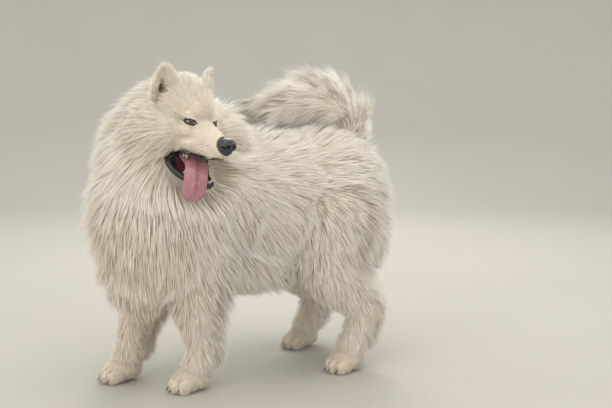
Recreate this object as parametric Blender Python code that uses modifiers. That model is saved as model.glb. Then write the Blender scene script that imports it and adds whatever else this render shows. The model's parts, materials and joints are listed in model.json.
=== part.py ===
"""A standing samoyed, life size, with its head turned to its left and its tail curled over its back.

The dog faces -Y, its left side is +X and +Z is up. Every size is in metres.
The long coat is built in two layers. A smooth core holds the body and the inner half of the coat.
Flat, tapered locks grow from the core and lie over one another along the lie of the hair.
"""

import math
import random

import bmesh
import bpy
import numpy as np
from mathutils import Euler, Matrix, Vector
from mathutils.bvhtree import BVHTree

GAP = 0.0003
MERGE = 1e-6
# Moves the model so that its bounding box is centred over the origin
ORIGIN_SHIFT = Vector((-0.0130, -0.0061, 0.0))
SEED = 7
SPHERES = {}

# Colours as linear red, green and blue
COAT = (0.80, 0.75, 0.66)
NOSE_BLACK = (0.030, 0.030, 0.035)
EYE_BROWN = (0.060, 0.030, 0.015)
TONGUE_PINK = (0.55, 0.19, 0.22)

# Paws on the floor: the near front leg stands back, the far one forward
PAW_FRONT = {"left": Vector((0.076, -0.172, 0.0)), "right": Vector((-0.076, -0.290, 0.0))}
PAW_HIND = {"left": Vector((0.128, 0.228, 0.0)), "right": Vector((-0.118, 0.236, 0.0))}
SIDE = {"left": 1.0, "right": -1.0}

# The head's own frame: x forward to the nose, y to its left, z up
HEAD_AT = Vector((0.098, -0.196, 0.632))
HEAD_YAW = math.radians(19.8)
HEAD_PITCH = math.radians(9.0)
HEAD_ROLL = math.radians(-4.0)
HEAD = Matrix.Translation(HEAD_AT) @ Euler((HEAD_ROLL, HEAD_PITCH, HEAD_YAW), "XYZ").to_matrix().to_4x4()
EYE_RADIUS = 0.0122
EYE_AT = Vector((0.056, 0.0325, 0.010))
EYE_LOOK = Vector((0.80, 0.58, 0.10)).normalized()
EYE_SLANT = math.radians(8.0)
NOSE_AT = Vector((0.146, 0.0, -0.024))

# Voxel size and number of triangles of each fused form
BODY_VOXEL, BODY_TRIANGLES = 0.0070, 2000
TAIL_VOXEL, TAIL_TRIANGLES = 0.0100, 420
REGION_VOXEL, REGION_TRIANGLES = 0.0100, 130
HEAD_VOXEL, HEAD_TRIANGLES = 0.0034, 950
JAW_VOXEL, JAW_TRIANGLES = 0.0030, 340
NOSE_VOXEL, NOSE_TRIANGLES = 0.0016, 180
EAR_VOXEL, EAR_TRIANGLES = 0.0022, 280
BELOW_FLOOR = 0.050
REGION_STEPS = 24

# Depth, half length and half height of the almond between the lids
EYE_OPENING = (0.010, 0.0135, 0.0056)
SOCKET_GAP = 4 * GAP
LID_THICKNESS = 0.0030
UPPER_LIP_RADIUS = 0.0046
LOWER_LIP_RADIUS = 0.0042
EAR_HALF_WIDTH = 0.037
EAR_THICKNESS = 0.0085
TAIL_GAP = 3 * GAP
# Balls of a limb stand this share of its thinnest radius apart
BALL_STEP = 0.32
# Places drawn for each square of the finest root spacing
DRAWS = 40


def remove(obj):
    """Removes an object and, if nothing else uses it, its mesh."""
    data = obj.data
    bpy.data.objects.remove(obj)
    if isinstance(data, bpy.types.Mesh) and not data.users:
        bpy.data.meshes.remove(data)


def clear_scene():
    for obj in list(bpy.data.objects):
        remove(obj)


def collection_named(name, hidden=False):
    made = bpy.data.collections.new(name)
    bpy.context.scene.collection.children.link(made)
    made.hide_render = hidden
    return made


def object_from(bm, name, where):
    """A mesh object made from a bmesh, which is freed."""
    mesh = bpy.data.meshes.new(name)
    bm.to_mesh(mesh)
    bm.free()
    obj = bpy.data.objects.new(name, mesh)
    where.objects.link(obj)
    return obj


def settle(obj):
    """Replaces an object's mesh by its evaluated one, so that its modifiers are applied."""
    graph = bpy.context.evaluated_depsgraph_get()
    graph.update()
    mesh = bpy.data.meshes.new_from_object(obj.evaluated_get(graph))
    old = obj.data
    obj.modifiers.clear()
    obj.data = mesh
    bpy.data.meshes.remove(old)
    return obj


def unit_sphere(detail):
    """The points and faces of a sphere of radius 1, with that many segments round it."""
    if detail not in SPHERES:
        bm = bmesh.new()
        bmesh.ops.create_uvsphere(bm, u_segments=detail, v_segments=detail // 2, radius=1.0)
        points = np.array([v.co for v in bm.verts])
        SPHERES[detail] = (points, [[v.index for v in f.verts] for f in bm.faces])
        bm.free()
    return SPHERES[detail]


def box(centre, size, frame, name, where):
    """A box of that size at centre, in a given frame."""
    bm = bmesh.new()
    place = frame @ Matrix.Translation(centre) @ Matrix.Diagonal((*size, 1))
    bmesh.ops.create_cube(bm, size=1.0, matrix=place)
    return object_from(bm, name, where)


class Clay:
    """Overlapping closed shapes, kept as plain points and faces until they are fused."""

    def __init__(self):
        self.points = []
        self.faces = []

    def add(self, points, faces):
        start = len(self.points)
        self.points += [tuple(p) for p in points]
        self.faces += [[start + i for i in face] for face in faces]

    def ball(self, centre, semi, turn=(0.0, 0.0, 0.0), detail=20):
        """Adds an ellipsoid with the semi-axes semi, turned by Euler angles in degrees."""
        points, faces = unit_sphere(detail)
        spin = np.array(Euler([math.radians(a) for a in turn], "XYZ").to_matrix())
        self.add((points * np.array(semi)) @ spin.T + np.array(centre), faces)

    def limb(self, stations, detail=16):
        """Adds a limb as a chain of overlapping balls through stations of (x, y, z, radius)."""
        length = sum(math.dist(a[:3], b[:3]) for a, b in zip(stations, stations[1:]))
        thinnest = min(s[3] for s in stations)
        count = max(4, int(length / (BALL_STEP * thinnest)) + 2)
        for x, y, z, r in smooth_path(stations, count):
            self.ball((x, y, z), (r, r, r), detail=detail)

    def object(self, name, where):
        mesh = bpy.data.meshes.new(name)
        mesh.from_pydata(self.points, [], self.faces)
        obj = bpy.data.objects.new(name, mesh)
        where.objects.link(obj)
        return obj

    def fused(self, name, where, voxel, smoothing, triangles):
        """One smooth closed surface round all the shapes, of about that many triangles."""
        obj = self.object(name, where)
        remesh = obj.modifiers.new("fuse", "REMESH")
        remesh.mode = "VOXEL"
        remesh.voxel_size = voxel
        smooth = obj.modifiers.new("smooth", "SMOOTH")
        smooth.factor = 0.5
        smooth.iterations = smoothing
        settle(obj)
        thin = obj.modifiers.new("thin", "DECIMATE")
        thin.ratio = min(1.0, triangles / (2 * len(obj.data.polygons)))
        return settle(obj)


def smooth_path(points, count):
    """count points spread evenly in parameter along a Catmull-Rom curve through points."""
    points = [np.asarray(p, float) for p in points]
    padded = [2 * points[0] - points[1], *points, 2 * points[-1] - points[-2]]
    spans = len(points) - 1
    made = []
    for step in range(count):
        at = step / (count - 1) * spans
        i = min(int(at), spans - 1)
        t = at - i
        a, b, c, d = padded[i : i + 4]
        made.append(0.5 * (2 * b + (c - a) * t + (2 * a - 5 * b + 4 * c - d) * t**2
                           + (3 * b - a - 3 * c + d) * t**3))
    return made


def copy_of(obj, name, where):
    made = bpy.data.objects.new(name, obj.data.copy())
    where.objects.link(made)
    return made


def grown(obj, amount, where):
    """A copy of a closed object with every vertex moved outwards by amount."""
    made = copy_of(obj, obj.name + "_grown", where)
    normals = [v.normal.copy() for v in made.data.vertices]
    for vertex, normal in zip(made.data.vertices, normals):
        vertex.co += normal * amount
    return made


def boolean(obj, other, operation, solver="EXACT"):
    """Applies a Boolean with an object or a collection."""
    cut = obj.modifiers.new("cut", "BOOLEAN")
    cut.operation = operation
    cut.solver = solver
    if isinstance(other, bpy.types.Collection):
        cut.operand_type = "COLLECTION"
        cut.collection = other
    else:
        cut.object = other
    return put_in_order(settle(obj))


def put_in_order(obj):
    """Puts points and faces in an order that follows from their places, which a Boolean leaves open."""
    mesh = obj.data
    spots = [tuple(v.co) for v in mesh.vertices]
    order = sorted(range(len(spots)), key=spots.__getitem__)
    rank = {old: new for new, old in enumerate(order)}
    faces = []
    for polygon in mesh.polygons:
        ring = [rank[i] for i in polygon.vertices]
        first = ring.index(min(ring))
        faces.append(ring[first:] + ring[:first])
    obj.data = bpy.data.meshes.new(mesh.name)
    obj.data.from_pydata([spots[i] for i in order], [], sorted(faces))
    bpy.data.meshes.remove(mesh)
    return obj


def keep_largest(obj):
    """Keeps the largest closed surface of a mesh, so loose scraps and sealed hollows go."""
    bm = bmesh.new()
    bm.from_mesh(obj.data)
    bmesh.ops.remove_doubles(bm, verts=bm.verts, dist=MERGE)
    left = set(bm.faces)
    best, best_area = [], -1.0
    while left:
        stack = [left.pop()]
        shell = []
        while stack:
            face = stack.pop()
            shell.append(face)
            for edge in face.edges:
                if len(edge.link_faces) == 2:
                    for near in edge.link_faces:
                        if near in left:
                            left.discard(near)
                            stack.append(near)
        area = sum(f.calc_area() for f in shell)
        if area > best_area:
            best, best_area = shell, area
    keep = set(best)
    bmesh.ops.delete(bm, geom=[f for f in bm.faces if f not in keep], context="FACES")
    bm.to_mesh(obj.data)
    bm.free()
    return obj


def cut_clear(obj, neighbours, tools, gap=GAP):
    """Cuts obj back so that it meets its neighbours face to face with a gap."""
    for near in neighbours:
        wider = grown(near, gap, tools)
        boolean(obj, wider, "DIFFERENCE")
        remove(wider)
    return obj


def part_off(body, region, name, where, tools):
    """Splits body along the surface of region. The piece inside it is returned, and body keeps the rest."""
    piece = copy_of(body, name, where)
    boolean(piece, region, "INTERSECT")
    wider = grown(region, GAP, tools)
    boolean(body, wider, "DIFFERENCE")
    remove(wider)
    return keep_largest(piece)


def tree_of(objects):
    """One BVH tree over the world-space triangles of several objects."""
    verts, faces = [], []
    for obj in objects:
        start = len(verts)
        verts += [v.co.copy() for v in obj.data.vertices]
        faces += [[start + i for i in p.vertices] for p in obj.data.polygons]
    return BVHTree.FromPolygons(verts, faces)


# Body core

def add_trunk(clay):
    """Chest, loin, rump, bib and belly, with the inner half of the coat."""
    clay.ball((0.0, -0.205, 0.400), (0.156, 0.162, 0.180))
    clay.ball((0.0, -0.110, 0.440), (0.150, 0.175, 0.155))
    clay.ball((0.0, 0.050, 0.425), (0.144, 0.205, 0.168))
    clay.ball((0.0, 0.212, 0.440), (0.146, 0.164, 0.160))
    clay.ball((0.0, -0.030, 0.300), (0.108, 0.250, 0.086))
    clay.ball((0.0, -0.250, 0.280), (0.090, 0.095, 0.092))
    for s in SIDE.values():
        clay.ball((s * 0.096, 0.208, 0.355), (0.072, 0.128, 0.155), turn=(-8, 0, 0))
        clay.ball((s * 0.084, -0.185, 0.375), (0.066, 0.104, 0.135))


def add_neck(clay):
    """The neck rises from the withers and bends to the dog's left, under its ruff."""
    clay.limb([(0.000, -0.190, 0.470, 0.150), (0.012, -0.203, 0.535, 0.142),
               (0.032, -0.204, 0.600, 0.120), (0.044, -0.192, 0.645, 0.094)])
    clay.ball((0.008, -0.125, 0.560), (0.114, 0.120, 0.114))
    tilt = [math.degrees(a) for a in (HEAD_ROLL, HEAD_PITCH, HEAD_YAW)]
    clay.ball(HEAD @ Vector((-0.060, 0.012, -0.032)), (0.052, 0.124, 0.102), turn=tilt)
    clay.ball(HEAD @ Vector((-0.066, 0.020, 0.040)), (0.046, 0.090, 0.056), turn=tilt)


def add_front_leg(clay, side):
    s, paw = SIDE[side], PAW_FRONT[side]
    lean = paw.y + 0.155
    clay.limb([(s * 0.078, -0.165, 0.360, 0.066), (s * 0.080, -0.155 + 0.30 * lean, 0.285, 0.058),
               (s * 0.078, -0.155 + 0.62 * lean, 0.190, 0.048), (paw.x, paw.y + 0.024, 0.105, 0.042),
               (paw.x, paw.y + 0.014, 0.060, 0.038)])
    clay.limb([(s * 0.080, -0.115 + 0.30 * lean, 0.290, 0.040),
               (s * 0.079, -0.112 + 0.6 * lean, 0.205, 0.030),
               (paw.x, paw.y + 0.052, 0.130, 0.020)])
    add_paw(clay, paw)


def add_hind_leg(clay, side):
    s, paw = SIDE[side], PAW_HIND[side]
    clay.limb([(s * 0.092, 0.200, 0.390, 0.090), (s * 0.104, 0.185, 0.300, 0.078),
               (s * 0.114, 0.205, 0.225, 0.060), (paw.x, paw.y + 0.040, 0.165, 0.047),
               (paw.x, paw.y + 0.030, 0.105, 0.041), (paw.x, paw.y + 0.012, 0.060, 0.038)])
    add_paw(clay, paw)


def add_paw(clay, paw):
    """An oval paw with four arched toes, pointing forward."""
    clay.ball((paw.x, paw.y - 0.004, 0.027), (0.037, 0.046, 0.030))
    for across, ahead in ((-0.026, 0.030), (-0.009, 0.042), (0.009, 0.042), (0.026, 0.030)):
        clay.ball((paw.x + across, paw.y - ahead, 0.018), (0.0115, 0.020, 0.017), detail=12)


def make_body(work):
    clay = Clay()
    add_trunk(clay)
    add_neck(clay)
    for side in SIDE:
        add_front_leg(clay, side)
        add_hind_leg(clay, side)
    body = clay.fused("body_core", work, BODY_VOXEL, 6, BODY_TRIANGLES)
    under = box((0, 0, -0.5), (2, 2, 1), Matrix(), "under_floor", work)
    boolean(body, under, "DIFFERENCE")
    remove(under)
    return body


def leg_region(work, top, foot, radius_x, radius_y, name):
    """A round-topped column that holds one leg, from its top down past the floor."""
    low = Vector((foot.x, foot.y, -BELOW_FLOOR))
    high = Vector(top)
    clay = Clay()
    for step in range(REGION_STEPS + 1):
        centre = low.lerp(high, step / REGION_STEPS)
        clay.ball(centre, (radius_x, radius_y, min(radius_x, radius_y)), detail=24)
    return clay.fused(name, work, REGION_VOXEL, 2, REGION_TRIANGLES)


def face_region(work):
    """The space in front of the ruff's edge, which the head fills."""
    lean = Matrix.Rotation(math.radians(-8), 4, "Y")
    frame = HEAD @ Matrix.Translation((-0.034, 0, 0)) @ lean
    return box((0.150, 0, 0.105), (0.3, 0.4, 0.4), frame, "face_region", work)


def mouth_region(work):
    """The space round the open mouth, which the coat of the throat leaves free."""
    points, faces = unit_sphere(24)
    clay = Clay()
    clay.add(points * np.array((0.100, 0.084, 0.066)), faces)
    room = clay.object("mouth_region", work)
    room.data.transform(HEAD @ Matrix.Translation((0.075, 0, -0.098)))
    return room


def neck_region(work):
    """Everything above the cut that parts the neck from the chest."""
    lean = Euler((math.radians(24), math.radians(4), 0), "XYZ").to_matrix().to_4x4()
    frame = Matrix.Translation((0.0, -0.20, 0.535)) @ lean
    return box((0, 0, 0.2), (0.6, 0.6, 0.4), frame, "neck_region", work)


# Head

def add_skull(clay):
    clay.ball((-0.014, 0.0, 0.030), (0.076, 0.072, 0.072))
    clay.ball((-0.030, 0.0, -0.020), (0.070, 0.078, 0.074))
    clay.ball((0.026, 0.0, 0.030), (0.044, 0.050, 0.042))
    for s in (1, -1):
        clay.ball((0.000, s * 0.050, -0.022), (0.050, 0.038, 0.056), turn=(0, 0, s * -12))
        clay.ball((-0.026, s * 0.070, -0.022), (0.042, 0.036, 0.062), turn=(0, 0, s * -12))
        clay.ball((0.044, s * 0.033, 0.026), (0.020, 0.018, 0.012), turn=(0, 0, s * -20))
        clay.ball((0.046, s * 0.037, -0.010), (0.026, 0.018, 0.016), turn=(0, 0, s * -20))


def add_muzzle(clay):
    clay.limb([(0.040, 0.0, -0.012, 0.039), (0.082, 0.0, -0.021, 0.033),
               (0.116, 0.0, -0.030, 0.0285), (0.134, 0.0, -0.034, 0.024)])
    for s in (1, -1):
        clay.limb([(0.034, s * 0.034, -0.034, 0.018), (0.075, s * 0.024, -0.040, 0.017),
                   (0.110, s * 0.015, -0.043, 0.015), (0.128, s * 0.008, -0.045, 0.012)])


def lip_line(side):
    """Points along the edge of the upper lip, from the corner of the mouth to the front."""
    return [(0.012, side * 0.050, -0.048), (0.050, side * 0.042, -0.056), (0.085, side * 0.031, -0.062),
            (0.114, side * 0.021, -0.061), (0.135, side * 0.006, -0.055)]


def jaw_line(side):
    """Points along the edge of the lower lip, from the corner of the mouth to the chin."""
    return [(0.012, side * 0.050, -0.054), (0.016, side * 0.045, -0.078), (0.048, side * 0.034, -0.096),
            (0.086, side * 0.022, -0.109), (0.113, side * 0.008, -0.114)]


def add_throat(clay):
    clay.ball((-0.020, 0.0, -0.070), (0.048, 0.052, 0.044))


def eye_axes(side):
    """Where an eye looks, the line between its corners, and the way up across it."""
    out = Vector((EYE_LOOK.x, side * EYE_LOOK.y, EYE_LOOK.z))
    level = Vector((0, 0, 1)).cross(out).normalized()
    along = (Matrix.Rotation(side * EYE_SLANT, 4, out) @ level).normalized()
    return out, along, out.cross(along).normalized()


def oriented_ball(centre, axes, semi, name, where):
    """An ellipsoid whose own axes are given as three unit vectors."""
    points, faces = unit_sphere(14)
    frame = np.array([list(a) for a in axes])
    clay = Clay()
    clay.add((points * np.array(semi)) @ frame + np.array(centre), faces)
    return clay.object(name, where)


def open_eye(head, side, tools):
    """Hollows the head for an eyeball and opens an almond between the lids."""
    centre = Vector((EYE_AT.x, side * EYE_AT.y, EYE_AT.z))
    axes = eye_axes(side)
    socket = oriented_ball(centre, axes, [EYE_RADIUS + SOCKET_GAP] * 3, "socket", tools)
    boolean(head, socket, "DIFFERENCE")
    remove(socket)
    almond = oriented_ball(centre + axes[0] * EYE_RADIUS, axes, EYE_OPENING, "almond", tools)
    boolean(head, almond, "DIFFERENCE")
    remove(almond)


def make_head(work, tools, inlays):
    """The head with its brows, cheeks and upper lips, hollowed for what is set into it."""
    clay = Clay()
    add_skull(clay)
    add_muzzle(clay)
    add_throat(clay)
    for s in SIDE.values():
        clay.limb([(*p, UPPER_LIP_RADIUS) for p in lip_line(s)])
        clay.ball((EYE_AT.x, s * EYE_AT.y, EYE_AT.z), [EYE_RADIUS + LID_THICKNESS] * 3)
    head = clay.fused("head", work, HEAD_VOXEL, 4, HEAD_TRIANGLES)
    for s in SIDE.values():
        open_eye(head, s, tools)
    cut_clear(head, inlays, tools)
    return keep_largest(head)


def make_eye(side, name, where):
    clay = Clay()
    clay.ball((EYE_AT.x, SIDE[side] * EYE_AT.y, EYE_AT.z), [EYE_RADIUS] * 3, detail=12)
    return clay.object(name, where)


def make_nose(work, tools):
    """The leather of the nose, with two comma-shaped nostrils and a groove between them."""
    clay = Clay()
    clay.ball(NOSE_AT, (0.015, 0.0225, 0.0165), turn=(0, 12, 0))
    clay.ball(NOSE_AT + Vector((0.002, 0, -0.009)), (0.012, 0.015, 0.014), turn=(0, 8, 0))
    nose = clay.fused("nose", work, NOSE_VOXEL, 3, NOSE_TRIANGLES)
    for s in (1, -1):
        for offset, semi, turn in (((0.0145, 0.0095, -0.0010), (0.009, 0.0044, 0.0040), (0, 0, 25)),
                                   ((0.0080, 0.0175, -0.0030), (0.007, 0.0060, 0.0020), (20, 0, 0))):
            clay = Clay()
            spot = NOSE_AT + Vector((offset[0], s * offset[1], offset[2]))
            clay.ball(spot, semi, turn=(s * turn[0], 0, s * turn[2]), detail=8)
            nostril = clay.object("nostril", tools)
            boolean(nose, nostril, "DIFFERENCE")
            remove(nostril)
    return keep_largest(nose)


def tooth(bm, root, tip, width):
    """A pointed tooth from its root to its tip."""
    root, tip = Vector(root), Vector(tip)
    turn = (tip - root).to_track_quat("Z", "Y").to_matrix().to_4x4()
    length = (tip - root).length
    bmesh.ops.create_cone(bm, cap_ends=True, segments=5, radius1=width / 2, radius2=width * 0.08,
                          depth=length, matrix=Matrix.Translation((root + tip) / 2) @ turn)


def make_jaw(work, tools, tongue):
    """The lower jaw hangs open, with lips, a row of small teeth and two canines."""
    clay = Clay()
    clay.limb([(0.012, 0.0, -0.085, 0.028), (0.046, 0.0, -0.106, 0.022),
               (0.082, 0.0, -0.120, 0.0165), (0.106, 0.0, -0.124, 0.0125)])
    for s in (1, -1):
        clay.limb([(0.012, s * 0.034, -0.078, 0.016), (0.042, s * 0.026, -0.098, 0.0125),
                   (0.080, s * 0.016, -0.114, 0.010), (0.104, s * 0.008, -0.119, 0.009)])
        clay.limb([(*p, LOWER_LIP_RADIUS) for p in jaw_line(s)])
    jaw = clay.fused("lower_jaw", work, JAW_VOXEL, 4, JAW_TRIANGLES)
    clay = Clay()
    clay.ball((0.052, 0.0, -0.086), (0.046, 0.017, 0.017), turn=(0, 24, 0), detail=12)
    hollow = clay.object("trough", tools)
    boolean(jaw, hollow, "DIFFERENCE")
    remove(hollow)
    teeth = collection_named("teeth")
    for s in (1, -1):
        bm = bmesh.new()
        tooth(bm, (0.099, s * 0.0130, -0.114), (0.1030, s * 0.0160, -0.097), 0.0065)
        teeth.objects.link(object_from(bm, "canine", tools))
        for n in range(3):
            bm = bmesh.new()
            tooth(bm, (0.1090 - 0.0012 * n, s * (0.0022 + 0.0036 * n), -0.114),
                  (0.1105 - 0.0012 * n, s * (0.0022 + 0.0036 * n), -0.1050), 0.0036)
            teeth.objects.link(object_from(bm, "incisor", tools))
        for n in range(2):
            bm = bmesh.new()
            back = 0.074 - 0.014 * n
            tooth(bm, (back, s * (0.0185 + 0.0042 * n), -0.107 + 0.0062 * n),
                  (back + 0.001, s * (0.0185 + 0.0042 * n), -0.095 + 0.0066 * n), 0.0080)
            teeth.objects.link(object_from(bm, "cheek_tooth", tools))
    boolean(jaw, teeth, "UNION")
    for obj in list(teeth.objects):
        remove(obj)
    bpy.data.collections.remove(teeth)
    cut_clear(jaw, [tongue], tools)
    return keep_largest(jaw)


def make_tongue(work):
    """The tongue comes out over the right lower lip and hangs, wide and cupped."""
    path = [(0.020, 0.000, -0.060), (0.055, -0.004, -0.074), (0.086, -0.013, -0.082),
            (0.104, -0.023, -0.097), (0.108, -0.028, -0.120), (0.107, -0.028, -0.143),
            (0.104, -0.026, -0.162)]
    widths = [0.034, 0.040, 0.044, 0.048, 0.050, 0.049, 0.028]
    count = 16
    spots = [Vector(p) for p in smooth_path(path, count)]
    sizes = smooth_path([(w, 0, 0) for w in widths], count)
    flat = Vector((0.50, 0.70, 0.0)).normalized()
    bm = bmesh.new()
    rings = []
    around = 12
    for i, (spot, size) in enumerate(zip(spots, sizes)):
        ahead = (spots[min(i + 1, count - 1)] - spots[max(i - 1, 0)]).normalized()
        t = i / (count - 1)
        start = Vector((0.0, 1.0, 0.0))
        across = start.lerp(flat, min(1.0, t * 2.2)).normalized()
        across = (across - ahead * across.dot(ahead)).normalized()
        face = across.cross(ahead).normalized()
        half = max(size[0], 0.012) / 2
        thick = 0.0052 - 0.0022 * t
        ring = []
        for k in range(around):
            a = 2 * math.pi * k / around
            u, v = math.cos(a), math.sin(a)
            cup = 0.0036 * u * u
            ring.append(bm.verts.new(spot + across * (half * u) + face * (thick * v + cup)))
        rings.append(ring)
    for low, high in zip(rings, rings[1:]):
        for k in range(around):
            j = (k + 1) % around
            bm.faces.new((low[k], low[j], high[j], high[k]))
    bm.faces.new(list(reversed(rings[0])))
    bm.faces.new(rings[-1])
    bmesh.ops.recalc_face_normals(bm, faces=bm.faces)
    tongue = object_from(bm, "tongue", work)
    smooth = tongue.modifiers.new("round_tip", "SUBSURF")
    smooth.levels = smooth.render_levels = 1
    thin = tongue.modifiers.new("thin", "DECIMATE")
    thin.ratio = 0.2
    settle(tongue)
    return tongue


def make_ear(side, work, tools, head):
    """A thick, pricked ear: a cupped triangle with a rounded tip, open to the front and outwards."""
    s = SIDE[side]
    base = Vector((-0.012, s * 0.046, 0.050))
    tip = Vector((-0.014, s * 0.066, 0.131))
    axis = tip - base
    height = axis.length
    axis.normalize()
    opening = Vector((0.80, s * 0.60, 0.0))
    opening = (opening - axis * opening.dot(axis)).normalized()
    across = axis.cross(opening).normalized()
    rows, columns = 9, 9
    bm = bmesh.new()
    grid = []
    for i in range(rows):
        v = -0.18 + 1.18 * i / (rows - 1)
        up = max(v, 0.0)
        width = EAR_HALF_WIDTH * (1 - up**1.5) ** 0.62 + 0.0035
        row = []
        for j in range(columns):
            u = -1 + 2 * j / (columns - 1)
            bend = 1.25 * (1 - 0.55 * up)
            angle = u * bend
            radius = width / math.sin(bend)
            spot = base + axis * (v * height) + across * (radius * math.sin(angle))
            spot += opening * (radius * (1 - math.cos(angle)) - 0.012 * (1 - up))
            row.append(bm.verts.new(spot))
        grid.append(row)
    for a, b in zip(grid, grid[1:]):
        for j in range(columns - 1):
            bm.faces.new((a[j], a[j + 1], b[j + 1], b[j]))
    ear = object_from(bm, f"ear_{side}", work)
    solid = ear.modifiers.new("thick", "SOLIDIFY")
    solid.thickness = EAR_THICKNESS
    solid.offset = 0.0
    settle(ear)
    remesh = ear.modifiers.new("fuse", "REMESH")
    remesh.mode = "VOXEL"
    remesh.voxel_size = EAR_VOXEL
    smooth = ear.modifiers.new("smooth", "SMOOTH")
    smooth.iterations = 3
    settle(ear)
    thin = ear.modifiers.new("thin", "DECIMATE")
    thin.ratio = EAR_TRIANGLES / (2 * len(ear.data.polygons))
    settle(ear)
    cut_clear(ear, [head], tools)
    return keep_largest(ear)


def cheeks(p):
    """Where the head's fur is long: behind and below the eyes, to the sides."""
    local = HEAD.inverted() @ p
    return -0.045 < local.x < 0.006 and abs(local.y) > 0.050 and -0.080 < local.z < 0.020


def off_belly(p):
    """The hidden skin between the legs grows no locks."""
    return p.z > 0.24 or abs(p.x) > 0.04


def before_face(p):
    """Whether a point hides the mouth or the face from the front."""
    local = HEAD.inverted() @ p
    near = -0.030 < local.x < 0.200 and abs(local.y) < 0.110 and local.z > -0.150
    return near and local.x * 0.74 + abs(local.y) * 0.67 > 0.020


def above_wrist(p):
    return p.z > 0.10


def above_hock(p):
    return p.z > 0.15


# Tail

TAIL_PATH = [(0.000, 0.262, 0.520, 0.054), (0.002, 0.298, 0.590, 0.052), (0.000, 0.285, 0.642, 0.054),
             (-0.012, 0.236, 0.668, 0.056), (-0.030, 0.172, 0.668, 0.054), (-0.048, 0.112, 0.648, 0.046),
             (-0.060, 0.078, 0.624, 0.036)]


def make_tail(work, tools, body):
    clay = Clay()
    clay.limb(TAIL_PATH)
    tail = clay.fused("tail_core", work, TAIL_VOXEL, 4, TAIL_TRIANGLES)
    cut_clear(tail, [body], tools, TAIL_GAP)
    return keep_largest(tail)


def tail_region(work):
    """The front part of the tail's arch, from its highest point on."""
    return box((0, 0.040, 0.66), (0.5, 0.4, 0.5), Matrix(), "tail_region", work)


# Locks

LOCK_RINGS = 3
LOCK_WIDTHS = (0.60, 1.0, 0.70)
ROOT_DEPTH = 0.009
LOCK_REACH = 0.36
# A lock that would cross another node is tried again further along its lie, then shorter
TRIES = ((0.0, 1.0), (0.018, 1.0), (-0.018, 1.0), (0.032, 0.9), (-0.032, 0.9), (0.0, 0.75), (0.02, 0.6))


class Coat:
    """How the hair of one node grows: the spacing of the roots, a lock's size, and how far it stands off."""

    def __init__(self, spacing, length, width, rise, thick=0.009, lie=None, allowed=None, off_face=False):
        self.spacing = spacing
        self.length = length
        self.width = width
        self.rise = rise
        self.thick = thick
        self.lie = lie
        self.allowed = allowed
        self.off_face = off_face


def body_lie(p):
    """The way the hair lies on the trunk: back along the spine, and down on the sides and chest."""
    chest = min(1.0, max(0.0, (-0.20 - p.y) / 0.12))
    low = min(1.0, max(0.0, (0.52 - p.z) / 0.16))
    back = (1.0 - 0.85 * chest) * (1.0 - 0.42 * low)
    return Vector((p.x * 1.2, back, -0.20 - 0.80 * max(low, chest)))


def neck_lie(p):
    """The ruff runs away from the face on every side, and droops."""
    away = (p - HEAD @ Vector((0.075, 0.0, 0.0))).normalized()
    return away + Vector((0.0, 0.0, -0.55))


def leg_lie(p):
    return Vector((p.x * 0.2, 0.30, -1.0))


def tail_lie(p):
    """Hair runs along the tail and stands away from it, so the plume spreads like a fan."""
    spots = [Vector(s[:3]) for s in smooth_path(TAIL_PATH, 40)]
    near = min(range(len(spots)), key=lambda i: (spots[i] - p).length)
    ahead = (spots[min(near + 1, len(spots) - 1)] - spots[max(near - 1, 0)]).normalized()
    below = min(1.0, max(0.0, (spots[near].z + 0.03 - p.z) / 0.05))
    return ahead + Vector((p.x * 4.0, 0.0, -0.9)) * below


def spread_roots(surface, owner_of, coats, rng):
    """Roots spread evenly over an outer surface: for each node, points at least its spacing apart."""
    mesh = surface.data
    mesh.calc_loop_triangles()
    triangles = [[mesh.vertices[i].co.copy() for i in t.vertices] for t in mesh.loop_triangles]
    areas = [((b - a).cross(c - a)).length / 2 for a, b, c in triangles]
    finest = min(coat.spacing for coat in coats.values())
    picked = rng.choices(range(len(triangles)), weights=areas, k=int(DRAWS * sum(areas) / finest**2))
    roots = {name: [] for name in coats}
    for index in picked:
        a, b, c = triangles[index]
        u, v = rng.random(), rng.random()
        if u + v > 1:
            u, v = 1 - u, 1 - v
        spot = a + (b - a) * u + (c - a) * v
        name = owner_of(spot)
        if name not in coats:
            continue
        coat = coats[name]
        if coat.allowed and not coat.allowed(spot):
            continue
        if all((spot - other).length > coat.spacing for other in roots[name]):
            roots[name].append(spot)
    return roots


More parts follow.
